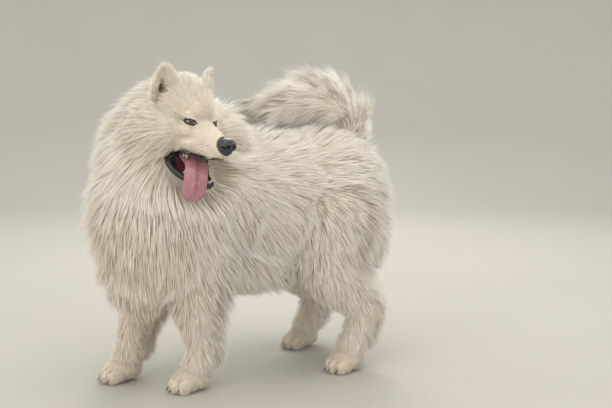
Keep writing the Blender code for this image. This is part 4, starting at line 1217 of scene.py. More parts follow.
def tuft_mesh(name, paths, ups, widths, uvs, tone_and_shade, biscuit_and_shade, rings=3):
    """Joined tufts: each is a closed, flattened spike with three sides, bent along its path."""
    count = len(paths)
    ahead = np.empty_like(paths)
    ahead[:, 1:-1] = paths[:, 2:] - paths[:, :-2]
    ahead[:, 0] = paths[:, 1] - paths[:, 0]
    ahead[:, -1] = paths[:, -1] - paths[:, -2]
    ahead = unit(ahead)
    side = unit(np.cross(ups, ahead))
    over = np.cross(ahead, side)
    profile = np.array([1.3] if rings == 1 else [0.75, 1.0])
    half = widths[:, None] * profile[None, :] / 2
    per = 3 * rings + 1
    spots = np.empty((count, per, 3))
    for k in range(rings):
        s = side[:, k] * half[:, k, None]
        o = over[:, k] * half[:, k, None]
        spots[:, 3 * k] = paths[:, k] + s - 0.14 * o
        spots[:, 3 * k + 1] = paths[:, k] + 0.36 * o
        spots[:, 3 * k + 2] = paths[:, k] - s - 0.14 * o
    spots[:, -1] = paths[:, -1]
    faces = [(2, 1, 0)]
    for k in range(rings - 1):
        for i in range(3):
            j = (i + 1) % 3
            faces.append((3 * k + i, 3 * k + j, 3 * k + 3 + j, 3 * k + 3 + i))
    top = 3 * (rings - 1)
    faces += [(top + i, top + (i + 1) % 3, per - 1) for i in range(3)]
    loop_template = np.array([i for face in faces for i in face])
    lengths = np.array([len(face) for face in faces])
    loops = (loop_template[None, :] + per * np.arange(count)[:, None]).ravel()
    starts = np.concatenate([[0], np.cumsum(np.tile(lengths, count))[:-1]])
    mesh = bpy.data.meshes.new(name)
    mesh.vertices.add(count * per)
    mesh.vertices.foreach_set("co", spots.astype(np.float32).ravel())
    mesh.loops.add(len(loops))
    mesh.loops.foreach_set("vertex_index", loops.astype(np.int32))
    mesh.polygons.add(len(starts))
    mesh.polygons.foreach_set("loop_start", starts.astype(np.int32))
    mesh.update(calc_edges=True)
    along = np.append(np.repeat(STATIONS[:rings], 3), 1.0)
    float_attribute(mesh, "along", np.tile(along, count))
    float_attribute(mesh, "tone_and_shade", np.repeat(tone_and_shade, per))
    float_attribute(mesh, "biscuit_and_shade", np.repeat(biscuit_and_shade, per))
    lean = np.random.default_rng(SEED + 3).normal(scale=TUFT_LEAN, size=(count, 1, 3))
    facing = np.empty_like(spots)
    for k in range(rings):
        facing[:, 3 * k] = ups[:, k] + TUFT_ROUND * (side[:, k] - 0.35 * over[:, k])
        facing[:, 3 * k + 1] = ups[:, k] + TUFT_ROUND * over[:, k]
        facing[:, 3 * k + 2] = ups[:, k] - TUFT_ROUND * (side[:, k] + 0.35 * over[:, k])
    facing[:, -1] = ups[:, -1]
    facing = unit(facing + lean)
    under = np.empty_like(spots)
    for k in range(rings):
        under[:, 3 * k : 3 * k + 3] = (0.7 * ups[:, k] - over[:, k])[:, None]
    under[:, -1] = 0.7 * ups[:, -1] - over[:, -1]
    under = unit(under)
    below = np.concatenate([np.full(len(face), n in BELOW[rings]) for n, face in enumerate(faces)])
    shaded = np.where(below[None, :, None], under[:, loop_template], facing[:, loop_template])
    soften(mesh, shaded.reshape(-1, 3))
    patch = np.stack([np.append(np.tile([0.0, 0.5, 1.0], rings), 0.5), along], axis=1) - 0.5
    layer = mesh.uv_layers.new(name=UV_MAP)
    places = (uvs[:, None, :] + 0.003 * patch[loop_template][None]).astype(np.float32)
    layer.data.foreach_set("uv", places.ravel())
    return mesh


def before_face(points):
    """1 in the space round the open mouth and in front of the face, falling to 0 outside it."""
    local = head_places(points)
    size = np.linalg.norm((local - np.array(MOUTH_SPACE)) / np.array(MOUTH_SPACE_SEMI), axis=1)
    front = (ramp_up(local[:, 0], -0.030, -0.005) * ramp_up(np.abs(local[:, 1]), 0.115, 0.095)
             * ramp_up(local[:, 2], -0.060, -0.045))
    return np.maximum(ramp_up(size, 1.15, 0.95), front)


def ear_slit(side):
    """The line in front of the ear along which its opening shows between the fluff."""
    return [(-0.010, side * 0.059, 0.050), (-0.0095, side * 0.063, 0.066), (-0.009, side * 0.067, 0.084)]


def off_mouth(paths, on_face):
    """Which tufts leave the mouth, the lips, the eyes and the openings of the ears free."""
    free = np.ones(len(paths), bool)
    for k in (1, 2, 3):
        spots = paths[:, k]
        local = head_places(spots)
        free &= on_face | (before_face(spots) < 0.5)
        near = np.linalg.norm(local, axis=1) < 0.20
        q = local[near]
        size, away = mouth_size(q)
        hit = (size < 0.98 + lip_band(away)) & (q[:, 0] > 0.0)
        hit |= path_distance(q, TONGUE) < 0.020
        for s in SIDE.values():
            hit |= path_distance(q, lip_line(s)[1:]) < 0.0030
            hit |= path_distance(q, ear_slit(s)) < 0.0085
            x, y, z = eye_places(q, s)
            hit |= ((x / (OPENING[0] + 0.002)) ** 2 + (y / (OPENING[1] + 0.0015)) ** 2 < 1) & (z > 0)
        free[np.nonzero(near)[0][hit]] = False
    return free


def label_pieces(points, shares):
    """The name of the coat piece that each root belongs to."""
    strongest = np.argmax(shares, axis=0)
    names = np.empty(len(points), object)
    x, y = points[:, 0], points[:, 1]
    side = np.where(x > 0, "left", "right")
    for i, region in enumerate(REGIONS):
        mine = strongest == i
        if region == "trunk":
            zone = np.where(y < -0.10, "chest", np.where(y < 0.13, "flank", "rump"))
            names[mine] = ["coat_" + a + "_" + b for a, b in zip(zone[mine], side[mine])]
        elif region in ("front", "hind"):
            names[mine] = ["coat_" + region + "_leg_" + b for b in side[mine]]
        elif region == "neck":
            names[mine] = ["coat_ruff_" + b for b in side[mine]]
        else:
            names[mine] = "coat_" + region
    return names


# Tinges by the ears, above the eyes and at the corners of the mouth, where it is painted shade in the
# crease:
# the place in the head's frame on its left side, the strength, and the distances at which the tinge ends
# and is full
TINGES_AND_SHADE = (
    ((-0.006, 0.055, 0.045), 0.28, 0.045, 0.010),
    ((0.050, 0.036, 0.028), 0.30, 0.020, 0.006),
    # At the corners of the mouth: painted shade in the crease
    ((0.010, 0.056, -0.045), 0.35, 0.030, 0.010),
)


def biscuit_and_shade_marks(points, local):
    """Where the white coat is tinged: biscuit by the ears, a tinge above the eyes and stains on the feet,
    and painted shade at the corners of the mouth and on the chest.
    """
    f, l, u = local.T
    biscuit_and_shade = np.zeros(len(points))
    for (ahead, out, high), strength, end, full in TINGES_AND_SHADE:
        away = np.linalg.norm(np.stack([f - ahead, np.abs(l) - out, u - high], 1), axis=1)
        biscuit_and_shade = np.maximum(biscuit_and_shade, strength * ramp_up(away, end, full))
    # Painted shade on the chest, which lies in shade under the head
    chest = 0.24 * ramp_up(points[:, 1], -0.13, -0.22) * ramp_up(points[:, 2], 0.52, 0.40)
    return np.maximum.reduce([biscuit_and_shade, chest, 0.30 * ramp_up(points[:, 2], 0.09, 0.02)])


def grow(skin, tree, weights, count, guide_gap, rng, clump, frizz):
    """Tufts on the skin, rooted by weight. Guides round each lead it, and the nearest draws it in."""
    roots, normals, uvs = surface_samples(skin.data, weights, count, rng)
    length, _, width, _, shares = coat_at(roots, normals)
    more, more_normals, _ = surface_samples(skin.data, weights, count // 5, rng)
    kept = spaced(more, np.full(len(more), guide_gap))
    guides, guide_normals = more[kept], more_normals[kept]
    guide_length, guide_rise, _, _, guide_regions = coat_at(guides, guide_normals)
    wild = 1.0 + 3.4 * guide_regions[TAIL_ROW]
    guide_length = guide_length * (1.0 + wild * rng.uniform(-0.07, 0.07, len(guides)))
    guide_rise = guide_rise * (1.0 + wild * rng.uniform(-0.08, 0.10, len(guides)))
    paths, ups = guide_paths(tree, guides, guide_length, guide_rise)
    gaps = guide_gap / (1.0 + 0.8 * shares[TAIL_ROW])
    picked, led = guide_shares(roots, normals, guides, guide_normals, gaps)
    mine = picked[:, 0]
    wool = rng.random(len(roots)) < WOOL_SHARE
    scale = np.clip(length / np.sum(guide_length[picked] * led, axis=1), 0.8, 1.25)
    scale *= np.where(wool, rng.uniform(0.58, 0.88, len(roots)), rng.uniform(0.88, 1.08, len(roots)))
    shape = np.zeros((len(roots), len(STATIONS), 3))
    up = np.zeros_like(shape)
    for k in range(4):
        shape += (paths[picked[:, k]] - paths[picked[:, k]][:, :1]) * led[:, k, None, None]
        up += ups[picked[:, k]] * led[:, k, None, None]
    up = unit(up)
    lift = rng.uniform(0.84, 1.08, len(roots))
    vertical = np.sum(shape * up, axis=2, keepdims=True)
    shape = shape + up * vertical * (lift[:, None, None] - 1.0)
    apart = paths[mine][:, 0] - roots
    lock = rng.uniform(clump[0], clump[1], len(guides)) ** 1.5 + 0.09 * (wild - 1.0)
    pull = lock[mine] * rng.uniform(0.5, 1.0, len(roots)) * np.where(wool, 0.4, 1.0)
    swirl = unit(rng.normal(size=(len(roots), 3)))
    made = np.empty_like(shape)
    looseness = frizz * (1.0 + 2.6 * shares[TAIL_ROW]) * length
    for k, t in enumerate(STATIONS):
        drawn = apart * (pull * t**1.2)[:, None]
        loose = swirl * (looseness * t * t)[:, None]
        made[:, k] = roots - normals * SUNK + shape[:, k] * scale[:, None] + drawn + loose
    width = width * rng.uniform(0.75, 1.15, len(roots)) * np.where(wool, 1.35, 0.95)
    on_face = shares[HEAD_ROW] > 0.6
    caught = np.arange(len(made))
    for _ in range(5):
        caught = caught[~off_mouth(made[caught], on_face[caught]) | ~in_reach(made[caught])]
        made[caught] = made[caught][:, :1] + (made[caught] - made[caught][:, :1]) * 0.65
    free = off_mouth(made, np.ones(len(made), bool))
    made[:, :, 2] = np.maximum(made[:, :, 2], 0.0012)
    return {"paths": made[free], "ups": up[free], "width": width[free], "uvs": uvs[free],
            "shares": shares[:, free], "roots": roots[free], "guide": mine[free], "wool": wool[free]}


def in_reach(paths):
    """Which tufts keep within the margin that the coat may stand out past the solids' box."""
    low, high = (np.array(c) for c in CAD_BOX)
    tips = paths[:, -1]
    return np.all((tips > low - REACH) & (tips < high + REACH), axis=1)


def dress(skin, tree, bare):
    """Grows the whole coat and returns its pieces."""
    rng = np.random.default_rng(SEED)
    points = points_of(skin.data)
    normals = normals_of(skin.data)
    shares = dict(zip(REGIONS, region_shares(points)))
    sole = (normals[:, 2] < -0.6) & (points[:, 2] < 0.03)
    clear = (bare < 0.3) & (points[:, 2] > 0.006) & ~sole
    face = ramp_up(head_places(points)[:, 0], -0.030, 0.000) * shares["head"]
    foot = ramp_up(points[:, 2], 0.10, 0.05)
    close = np.clip(face + foot, 0, 1)
    legs = shares["front"] + shares["hind"]
    more = 1.0 + 2.6 * shares["tail"] + 0.8 * shares["head"] - 0.25 * legs
    fine = clear * close
    long = clear * (1.0 - close) * more
    groups = [grow(skin, tree, long, LONG_TUFTS, LONG_GAP, rng, (0.00, 0.55), 0.05),
              grow(skin, tree, fine, SHORT_TUFTS, SHORT_GAP, rng, (0.00, 0.50), 0.10)]
    pieces = []
    for group, kind in zip(groups, ("", "_short")):
        names = label_pieces(group["roots"], group["shares"])
        places = head_places(group["roots"])
        clump_tone = rng.random(int(group["guide"].max()) + 1)
        tone_and_shade = 0.30 * clump_tone[group["guide"]] + 0.70 * rng.random(len(names))
        tone_and_shade = np.clip(tone_and_shade, 0, 1) ** 1.7
        # Painted shade: face tufts take more of the shaded colour; painted light: tail tufts take less of
        # it
        face = group["shares"][HEAD_ROW]
        tone_and_shade = np.clip(tone_and_shade * (1.0 - 0.7 * group["shares"][TAIL_ROW]) + 0.70 * face, 0, 1)
        # A little more tinge over the whole face: painted shade
        biscuit_and_shade = (biscuit_and_shade_marks(group["roots"], places) + 0.03 * face) * rng.uniform(0.5, 1.0, len(names))
        for name in sorted(set(names)):
            for layer, chosen, stations in (("", ~group["wool"], [0, 2, 3]),
                                            ("_wool", group["wool"], [0, 3])):
                mine = (names == name) & chosen
                if mine.sum() < 10:
                    continue
                mesh = tuft_mesh(name + kind + layer, group["paths"][mine][:, stations],
                                 group["ups"][mine][:, stations], group["width"][mine],
                                 group["uvs"][mine], tone_and_shade[mine], biscuit_and_shade[mine], len(stations) - 1)
                pieces.append(link(name + kind + layer, mesh))
    return pieces


def make_wool(skin):
    """The dense undercoat: a soft layer between the guard hairs, lower than they are."""
    points = points_of(skin.data)
    normals = normals_of(skin.data)
    _, rise, _, _, shares = coat_at(points, normals)
    above = points + normals * rise[:, None] * 0.6
    covered = np.maximum(before_face(points), before_face(above))
    deep = ramp_up(rise, 0.014, 0.034) * ramp_up(covered, 0.40, 0.0) * (1.0 - 0.4 * shares[TAIL_ROW])
    depth = WOOL_HEIGHT * rise * deep - 0.003 * (1.0 - deep)
    wool = link("wool", skin.data.copy())
    raised = points + normals * depth[:, None]
    wool.data.vertices.foreach_set("co", raised.astype(np.float32).ravel())
    return fuse(wool, 0.006, 4)


def unwrap(obj):
    """A smart unwrap of a mesh into the map that the coat's patches use."""
    obj.data.uv_layers.new(name=UV_MAP)
    bpy.context.view_layer.objects.active = obj
    obj.select_set(True)
    bpy.ops.object.mode_set(mode="EDIT")
    bpy.ops.mesh.select_all(action="SELECT")
    bpy.ops.uv.smart_project(angle_limit=math.radians(66), island_margin=0.002)
    bpy.ops.object.mode_set(mode="OBJECT")
    obj.select_set(False)


# Head pieces

def make_eye(side):
    s = SIDE[side]
    out, along, up = eye_axes(s)
    centre = eye_place(s)
    eye = oriented_ball(centre, (out, along, up), [EYE_RADIUS] * 3, f"eyeball_{side}", detail=64)
    places = head_places(points_of(eye.data)) - np.array(centre)
    cosine = np.clip(unit(places) @ np.array(out), -1, 1)
    gaze = np.arccos(cosine)
    bulge = ramp_up(gaze, 0.50, 0.30) * 0.0009
    outward = unit(places) @ HEAD_TURN.T
    moved = points_of(eye.data) + outward * bulge[:, None]
    eye.data.vertices.foreach_set("co", moved.astype(np.float32).ravel())
    float_attribute(eye.data, "gaze", gaze)
    return eye


def make_lids(side, material):
    """Black rims that follow the edge of the opening, thick at its two corners."""
    s = SIDE[side]
    out, along, up = eye_axes(s)
    centre = eye_place(s)
    paths = []
    count = 20
    for half in (1, -1):
        path, radii = [], []
        for k in range(count + 1):
            a = math.pi * k / count
            x = OPENING[0] * math.cos(a)
            y = half * OPENING[1] * 1.02 * math.sin(a) * (1.0 - 0.30 * abs(math.cos(a)))
            depth = max(math.sqrt(max(0.0, (EYE_RADIUS + 0.0008) ** 2 - x * x - y * y)), 0.0045)
            path.append(centre + along * x + up * y + out * depth)
            radii.append(0.0010 + 0.0010 * abs(math.cos(a)) ** 6)
        paths.append((path, radii))
    return swept(f"lid_rims_{side}", paths, 8, material, HEAD)


def make_nose():
    """The leather of the nose, with comma-shaped nostrils and a groove between them."""
    clay = Clay()
    clay.ball(NOSE_AT, (0.015, 0.0225, 0.0165), turn=(0, 12, 0))
    clay.ball(NOSE_AT + Vector((0.002, 0, -0.009)), (0.012, 0.015, 0.014), turn=(0, 8, 0))
    for s in SIDE.values():
        clay.ball(NOSE_AT + Vector((0.004, s * 0.0115, -0.001)), (0.0115, 0.0095, 0.0115))
    nose = clay.fused("nose_leather_piece", 0.0009, 4)
    for s in SIDE.values():
        for offset, semi, turn in (((0.0150, 0.0088, -0.0012), (0.010, 0.0042, 0.0040), (0, 0, 25)),
                                   ((0.0085, 0.0175, -0.0040), (0.009, 0.0060, 0.0016), (24, 0, 0))):
            cutter = Clay()
            spot = NOSE_AT + Vector((offset[0], s * offset[1], offset[2]))
            cutter.ball(spot, semi, turn=(s * turn[0], 0, s * turn[2]))
            boolean(nose, cutter.object("nostril"))
    groove = Clay()
    groove.ball(NOSE_AT + Vector((0.016, 0, -0.014)), (0.006, 0.0009, 0.013))
    boolean(nose, groove.object("groove"))
    nose.data.transform(HEAD)
    return nose


def make_tongue():
    """The tongue comes out over the right lower lip and hangs, wide, cupped and grooved."""
    widths = [0.044, 0.050, 0.051, 0.051, 0.051, 0.047, 0.031]
    rows, columns = 48, 27
    spots = [Vector(p) for p in smooth_path(TONGUE, rows)]
    sizes = smooth_path([(w, 0, 0) for w in widths], rows)
    flat = Vector((0.50, 0.70, 0.0)).normalized()
    bm = bmesh.new()
    middle = bm.verts.layers.float.new("middle")
    grid = []
    for i, (spot, size) in enumerate(zip(spots, sizes)):
        t = i / (rows - 1)
        ahead = (spots[min(i + 1, rows - 1)] - spots[max(i - 1, 0)]).normalized()
        across = Vector((0.0, 1.0, 0.0)).lerp(flat, min(1.0, t * 3.0)).normalized()
        across = (across - ahead * across.dot(ahead)).normalized()
        face = across.cross(ahead).normalized()
        tip = math.sqrt(max(0.0, 1.0 - ((t - 0.90) / 0.10) ** 2)) if t > 0.90 else 1.0
        half = size[0] / 2 * max(tip, 0.10)
        row = []
        for k in range(columns):
            u = -1 + 2 * k / (columns - 1)
            groove = -0.0024 * math.exp(-((u / 0.13) ** 2)) * min(1.0, 3 * (1 - t))
            ripple = 0.00022 * math.sin(16 * u + 2 * math.sin(5 * t)) + 0.00012 * math.sin(24 * t + 5 * u)
            lift = 0.0040 * u * u + groove + ripple
            vert = bm.verts.new(spot + across * (half * u) + face * lift)
            # How near the groove a point lies, which the material darkens as painted shade
            vert[middle] = math.exp(-((u / 0.16) ** 2)) * min(1.0, 2.5 * (1 - t))
            row.append(vert)
        grid.append(row)
    for a, b in zip(grid, grid[1:]):
        for k in range(columns - 1):
            bm.faces.new((a[k], a[k + 1], b[k + 1], b[k]))
    tongue = object_from(bm, "tongue_piece")
    solid = tongue.modifiers.new("thick", "SOLIDIFY")
    solid.thickness = 0.0062
    solid.offset = 0.0
    soft = tongue.modifiers.new("round", "SUBSURF")
    soft.levels = soft.render_levels = 1
    settle(tongue)
    face_outwards(tongue)
    tongue.data.transform(HEAD)
    return tongue


def tooth_path(root, tip, width):
    """The path and radii of one pointed tooth."""
    root, tip = Vector(root), Vector(tip)
    steps = [k / 6 for k in range(7)]
    return [root.lerp(tip, t) for t in steps], [width / 2 * (1 - t**1.8) + 0.0002 for t in steps]


def make_teeth(material):
    """Lower incisors and canines, and the cheek teeth that the open mouth shows."""
    paths = []
    for s in SIDE.values():
        paths.append(tooth_path((0.100, s * 0.0135, -0.120), (0.1045, s * 0.0165, -0.0995), 0.0062))
        for n in range(3):
            x, y = 0.1090 - 0.0012 * n, s * (0.0022 + 0.0036 * n)
            paths.append(tooth_path((x, y, -0.120), (x + 0.0015, y, -0.1085), 0.0036))
        for x, y, z, height in ((0.054, 0.0262, -0.107, 0.0085), (0.065, 0.0236, -0.1125, 0.0090),
                                (0.076, 0.0208, -0.1170, 0.0090)):
            paths.append(tooth_path((x, s * y, z), (x + 0.001, s * y, z + height), 0.0076))
        for x, y, height in ((0.050, 0.0305, 0.0125), (0.0585, 0.0295, 0.0135)):
            tip = (x + 0.001, s * (y + 0.001), -0.057 - height)
            paths.append(tooth_path((x, s * y, -0.057), tip, 0.0084))
    return swept("teeth", paths, 10, material, HEAD)


def lip_edge(tree, side, angles):
    """Points on the skin beside the mouth, at angles round its hollow, found by rays from the side."""
    tilt = Euler((0, math.radians(MOUTH_TILT), 0), "XYZ").to_matrix()
    found = []
    inward = HEAD.to_3x3() @ Vector((0, -side, 0))
    for a in angles:
        ring = Vector((MOUTH_SEMI[0] * math.cos(a), 0, MOUTH_SEMI[2] * math.sin(a)))
        start = HEAD @ (MOUTH_AT + tilt @ ring + Vector((0, side * 0.12, 0)))
        hit, _, _, away = tree.ray_cast(start, inward)
        # Only a hit at about the distance of the lips lies beside the mouth
        if hit is not None and 0.062 < away < 0.115:
            found.append((hit, a))
    return found


def make_lips(tree, material):
    """Black lips: a thin edge above, and a broad fold below that turns round at the corner."""
    paths = []
    for s in SIDE.values():
        edge = lip_edge(tree, s, [math.radians(d) for d in range(-40, -262, -6)])
        path = [spot for spot, _ in edge]
        for _ in range(3):
            between = [(a + 2 * b + c) / 4 for a, b, c in zip(path, path[1:], path[2:])]
            path = [path[0], *between, path[-1]]
        radii = [0.0024 + 0.0046 * max(0.0, min(1.0, -math.sin(a + 0.7) * 1.6))
                 + 0.0004 * math.sin(9 * a) for _, a in edge]
        paths.append((path, radii))
        upper = [HEAD @ Vector(p[:3]) for p in smooth_path(lip_line(s)[1:], 30)]
        paths.append((upper, [0.0024 - 0.0010 * k / 29 for k in range(30)]))
        lower = [HEAD @ Vector(p[:3]) for p in smooth_path(lower_lip_line(s)[1:], 30)]
        paths.append((lower, [0.0044 - 0.0006 * k / 29 for k in range(30)]))
    return swept("lips", paths, 12, material)


def make_whiskers(tree, material):
    """Fine, stiff whiskers in rows on the sides of the muzzle."""
    rng = np.random.default_rng(SEED + 5)
    paths = []
    for s in SIDE.values():
        for row in range(3):
            for n in range(4):
                place = Vector((0.082 + 0.011 * n, s * 0.06, -0.030 - 0.007 * row))
                hit, _, _, _ = tree.ray_cast(HEAD @ place, HEAD.to_3x3() @ Vector((0, -s, 0)))
                if hit is None:
                    continue
                local = Vector((-0.55, s * 0.80, -0.25 - 0.12 * row))
                local += Vector(rng.normal(scale=0.10, size=3))
                lie = (HEAD.to_3x3() @ local).normalized()
                length = rng.uniform(0.028, 0.046)
                steps = [k / 5 for k in range(6)]
                path = [hit - lie * 0.002 + lie * (length * t) - Vector((0, 0, 0.008 * t * t))
                        for t in steps]
                paths.append((path, [0.00028 * (1 - 0.85 * t) for t in steps]))
    return swept("whiskers", paths, 5, material)


# How much of the way to its tip the leather of an ear reaches, under the plush
EAR_SHARE = 0.88


def make_ear(side):
    """A thick, pricked ear: a cupped triangle with a rounded tip, open to the front and outwards."""
    s = SIDE[side]
    base = Vector((-0.012, s * 0.046, 0.050))
    tip = Vector((-0.014, s * 0.066, 0.131))
    axis = tip - base
    height = axis.length * EAR_SHARE
    axis.normalize()
    opening = Vector((0.80, s * 0.60, 0.0))
    opening = (opening - axis * opening.dot(axis)).normalized()
    across = axis.cross(opening).normalized()
    rows, columns = 25, 25
    bm = bmesh.new()
    grid = []
    for i in range(rows):
        v = -0.24 + 1.22 * i / (rows - 1)
        up = max(v, 0.0)
        width = 0.034 * (1 - up**1.5) ** 0.62 + 0.0020
        row = []
        for j in range(columns):
            u = -1 + 2 * j / (columns - 1)
            bend = 1.25 * (1 - 0.55 * up)
            radius = width / math.sin(bend)
            angle = u * bend
            spot = base + axis * (v * height) + across * (radius * math.sin(angle))
            spot += opening * (radius * (1 - math.cos(angle)) - 0.012 * (1 - up))
            row.append(bm.verts.new(spot))
        grid.append(row)
    for a, b in zip(grid, grid[1:]):
        for j in range(columns - 1):
            bm.faces.new((a[j], a[j + 1], b[j + 1], b[j]))
    ear = object_from(bm, f"ear_leather_{side}")
    solid = ear.modifiers.new("thick", "SOLIDIFY")
    solid.thickness = 0.0042
    solid.offset = 0.0
    settle(ear)
    fuse(ear, 0.0014, 4)
    facing = normals_of(ear.data) @ np.array(opening)
    from_base = points_of(ear.data) - np.array(base)
    height_share = from_base @ np.array(axis) / height
    beside = from_base @ np.array(across) * s
    beside -= (np.array(tip) - np.array(base)) @ np.array(across) * s * np.clip(height_share, 0, 1)
    slit = ramp_up(np.abs(beside - 0.010), 0.012, 0.007) * ramp_up(height_share, 0.56, 0.42)
    inner = ramp_up(facing, 0.15, 0.55)
    float_attribute(ear.data, "inner", inner * (0.35 + 0.65 * slit))
    float_attribute(ear.data, "cup", inner)
    float_attribute(ear.data, "slit", slit)
    float_attribute(ear.data, "up", height_share)
    ear.data.transform(HEAD)
    return ear, HEAD.to_3x3() @ axis, HEAD.to_3x3() @ opening, HEAD.to_3x3() @ across


def values_of(mesh, name):
    """The values of one of a mesh's attributes, as an array."""
    made = np.empty(len(mesh.vertices), np.float32)
    mesh.attributes[name].data.foreach_get("value", made)
    return made


def ear_coat(side, ear, axis, opening, across, rng):
    """Plush on the back and rim of the ear, and long pale fluff that fills its cup."""
    points = points_of(ear.data)
    inner, slit, up = (values_of(ear.data, name) for name in ("cup", "slit", "up"))
    axis, opening, across = (np.array(v) for v in (axis, opening, across))
    pieces = []
    outside = (1 - inner) * (up > -0.15)
    inside = inner * (up > -0.15) * (slit < 0.1)
    opened = point_tree(points[(slit > 0.6) & (inner > 0.6)])
    for kind, weight, number, length, rise, width in (
            ("plush", outside, PLUSH_TUFTS, 0.0095, 0.0050, 0.0010),
            ("fluff", inside, FLUFF_TUFTS, 0.022, 0.011, 0.0010)):
        roots, normals, uvs = surface_samples(ear.data, weight, number, rng)
        if kind == "plush":
            lie = np.tile(axis, (number, 1)) + rng.normal(scale=0.22, size=(number, 3))
        else:
            lateral = (roots - points.mean(axis=0)) @ across * SIDE[side]
            sideways = np.where(lateral < 0.010, 0.35, -0.15)[:, None]
            lie = 0.9 * axis + 0.40 * opening + across * SIDE[side] * sideways
            lie = lie + rng.normal(scale=0.20, size=(number, 3))
        lie = unit(lie - normals * np.sum(lie * normals, axis=1, keepdims=True) * 0.7)
        along = (roots - points.min(axis=0)) @ axis
        along = along / ((points - points.min(axis=0)) @ axis).max()
        size = length * rng.uniform(0.7, 1.2, number) * (1.0 - 0.55 * ramp_up(along, 0.45, 0.95))
        lift = rise * rng.uniform(0.6, 1.2, number)
        stations = np.array([0.0, 0.5, 1.0])
        paths = np.empty((number, 3, 3))
        for k, t in enumerate(stations):
            bow = normals * (lift * math.sin(1.4 * t))[:, None]
            paths[:, k] = roots - normals * SUNK + lie * (size * t)[:, None] + bow
        if kind == "fluff":
            tips = paths[:, 2] - normals * rise * 0.8
            covering = np.array([opened.find(spot)[2] < 0.0075 for spot in tips])
            paths[covering] = paths[covering][:, :1] + (paths[covering] - paths[covering][:, :1]) * 0.35
        ups = np.repeat(normals[:, None, :], 3, axis=1)
        widths = width * rng.uniform(0.8, 1.2, number)
        biscuit_and_shade = np.full(number, 0.12) * rng.uniform(0.2, 1.0, number)
        tone_and_shade = rng.random(number) ** 1.5
        mesh = tuft_mesh(f"ear_{kind}_{side}", paths, ups, widths, uvs, tone_and_shade, biscuit_and_shade, 2)
        pieces.append(link(f"ear_{kind}_{side}", mesh))
    return pieces


def make_claws(material):
    """Four short, curved claws on each foot."""
    paths = []
    steps = (0.0, 0.25, 0.5, 0.75, 1.0)
    for paw in (*PAW_FRONT.values(), *PAW_HIND.values()):
        for across, ahead in TOES:
            root = Vector((paw.x + across, paw.y - ahead - 0.008, 0.014))
            path = [root + Vector((0, -0.013 * t, 0.002 * math.sin(2.2 * t) - 0.0105 * t * t))
                    for t in steps]
            paths.append((path, [0.0034, 0.0031, 0.0025, 0.0017, 0.0005]))
    return swept("claws", paths, 10, material)


# Stage

def make_stage():
    """A pale floor that curves up far behind the dog."""
    bm = bmesh.new()
    bend = [(3.0 + 1.5 * math.sin(a), 1.5 - 1.5 * math.cos(a))
            for a in np.linspace(0.1, math.pi / 2, 12)]
    profile = [(-4.0, 0.0), (3.0, 0.0), *bend, (4.5, 5.0)]
    ahead = CAMERA_AHEAD.normalized()
    across = Vector((-ahead.y, ahead.x, 0))
    rows = []
    for reach, height in profile:
        rows.append([bm.verts.new(ahead * reach + across * w + Vector((0, 0, height))) for w in (-6, 6)])
    for a, b in zip(rows, rows[1:]):
        bm.faces.new((a[0], a[1], b[1], b[0]))
    bmesh.ops.recalc_face_normals(bm, faces=bm.faces)
    floor = object_from(bm, "studio_floor")
    floor.data.materials.append(floor_material())
    floor.data.shade_smooth()


def make_light(name, place, aim, size, power, tint):
    data = bpy.data.lights.new(name, "AREA")
    data.shape = "DISK"
    data.size = size
    data.energy = power
    data.color = colour(tint)[:3]
    light = bpy.data.objects.new(name, data)
    light.location = place
    light.rotation_euler = (Vector(aim) - Vector(place)).to_track_quat("-Z", "Y").to_euler()
    bpy.context.scene.collection.objects.link(light)


def make_lights():
    world = bpy.data.worlds.new("studio")
    bpy.context.scene.world = world
    world.use_nodes = True
    background = world.node_tree.nodes["Background"]
    background.inputs["Color"].default_value = colour("EDECEA")
    background.inputs["Strength"].default_value = 1.15
    middle = (0.0, 0.0, 0.45)
    make_light("key", (0.8, 0.5, 3.3), middle, 3.2, 27.0, "FFF9F1")
    make_light("fill", (1.2, -2.6, 1.2), middle, 2.8, 23.0, "FFFAF4")
    make_light("rim", (-2.2, 1.4, 2.4), middle, 1.8, 44.0, "FFFDF8")


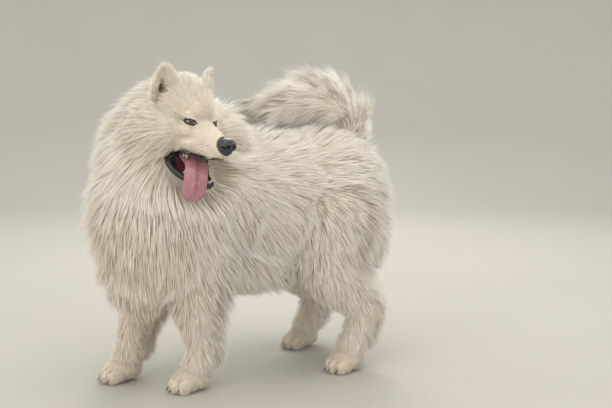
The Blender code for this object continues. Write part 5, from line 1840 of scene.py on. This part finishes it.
def make_camera():
    """The photograph's viewpoint, with plain display colours so that white stays white."""
    bpy.context.scene.view_settings.view_transform = "Standard"
    data = bpy.data.cameras.new("camera")
    data.sensor_fit = "HORIZONTAL"
    data.sensor_width = SENSOR_WIDTH
    data.lens = LENS
    data.clip_start = 0.05
    camera = bpy.data.objects.new("camera", data)
    ahead = CAMERA_AHEAD.normalized() * math.cos(CAMERA_DOWN) - Vector((0, 0, math.sin(CAMERA_DOWN)))
    camera.location = CAMERA_AT + ORIGIN
    camera.rotation_euler = ahead.to_track_quat("-Z", "Y").to_euler()
    bpy.context.scene.collection.objects.link(camera)
    bpy.context.scene.camera = camera


def coat_slot(name):
    """The name of the record's material slot for a coat piece."""
    if name.startswith("coat_head"):
        return "coat_face"
    return "coat_leg" if "leg" in name else "coat_long"


def build():
    make_camera()
    make_stage()
    make_lights()
    hair = coat_material()
    skin = make_skin()
    bare = paint_skin(skin)
    unwrap(skin)
    tree = surface_tree(skin.data)
    wool = make_wool(skin)
    unwrap(wool)
    coats = dress(skin, tree, bare)
    finish_piece(wool, wool_material(), "coat_long")
    rng = np.random.default_rng(SEED + 1)
    ear_leather = ear_material()
    lid_skin = black_skin_material("lid_skin", 0.35)
    lip_skin = black_skin_material("lip_skin", 0.30)
    enamel = tooth_material()
    horn = claw_material()
    lips = make_lips(tree, lip_skin)
    whiskers = make_whiskers(tree, horn)
    for side in SIDE:
        ear, axis, opening, across = make_ear(side)
        unwrap(ear)
        for piece in ear_coat(side, ear, axis, opening, across, rng):
            finish_piece(piece, hair, "coat_ear")
        finish_piece(ear, ear_leather, "coat_ear", f"ear_{side}")
        finish_piece(make_eye(side), eye_material(), "eye", f"eye_{side}")
        finish_piece(make_lids(side, lid_skin), lid_skin, "eye")
    for piece in coats:
        finish_piece(piece, hair, coat_slot(piece.name))
    finish_piece(skin, skin_material(), "coat_face", "head", "lower_jaw", "neck", "torso",
                 "tail_base", "tail_plume",
                 *[f"leg_{end}_{side}" for end in ("front", "hind") for side in SIDE])
    finish_piece(make_nose(), nose_material(), "nose_leather", "nose")
    finish_piece(make_tongue(), tongue_material(), "tongue", "tongue")
    finish_piece(make_teeth(enamel), enamel, "tongue")
    finish_piece(lips, lip_skin, "nose_leather")
    finish_piece(whiskers, horn, "nose_leather")
    finish_piece(make_claws(horn), horn, "nose_leather")


build()
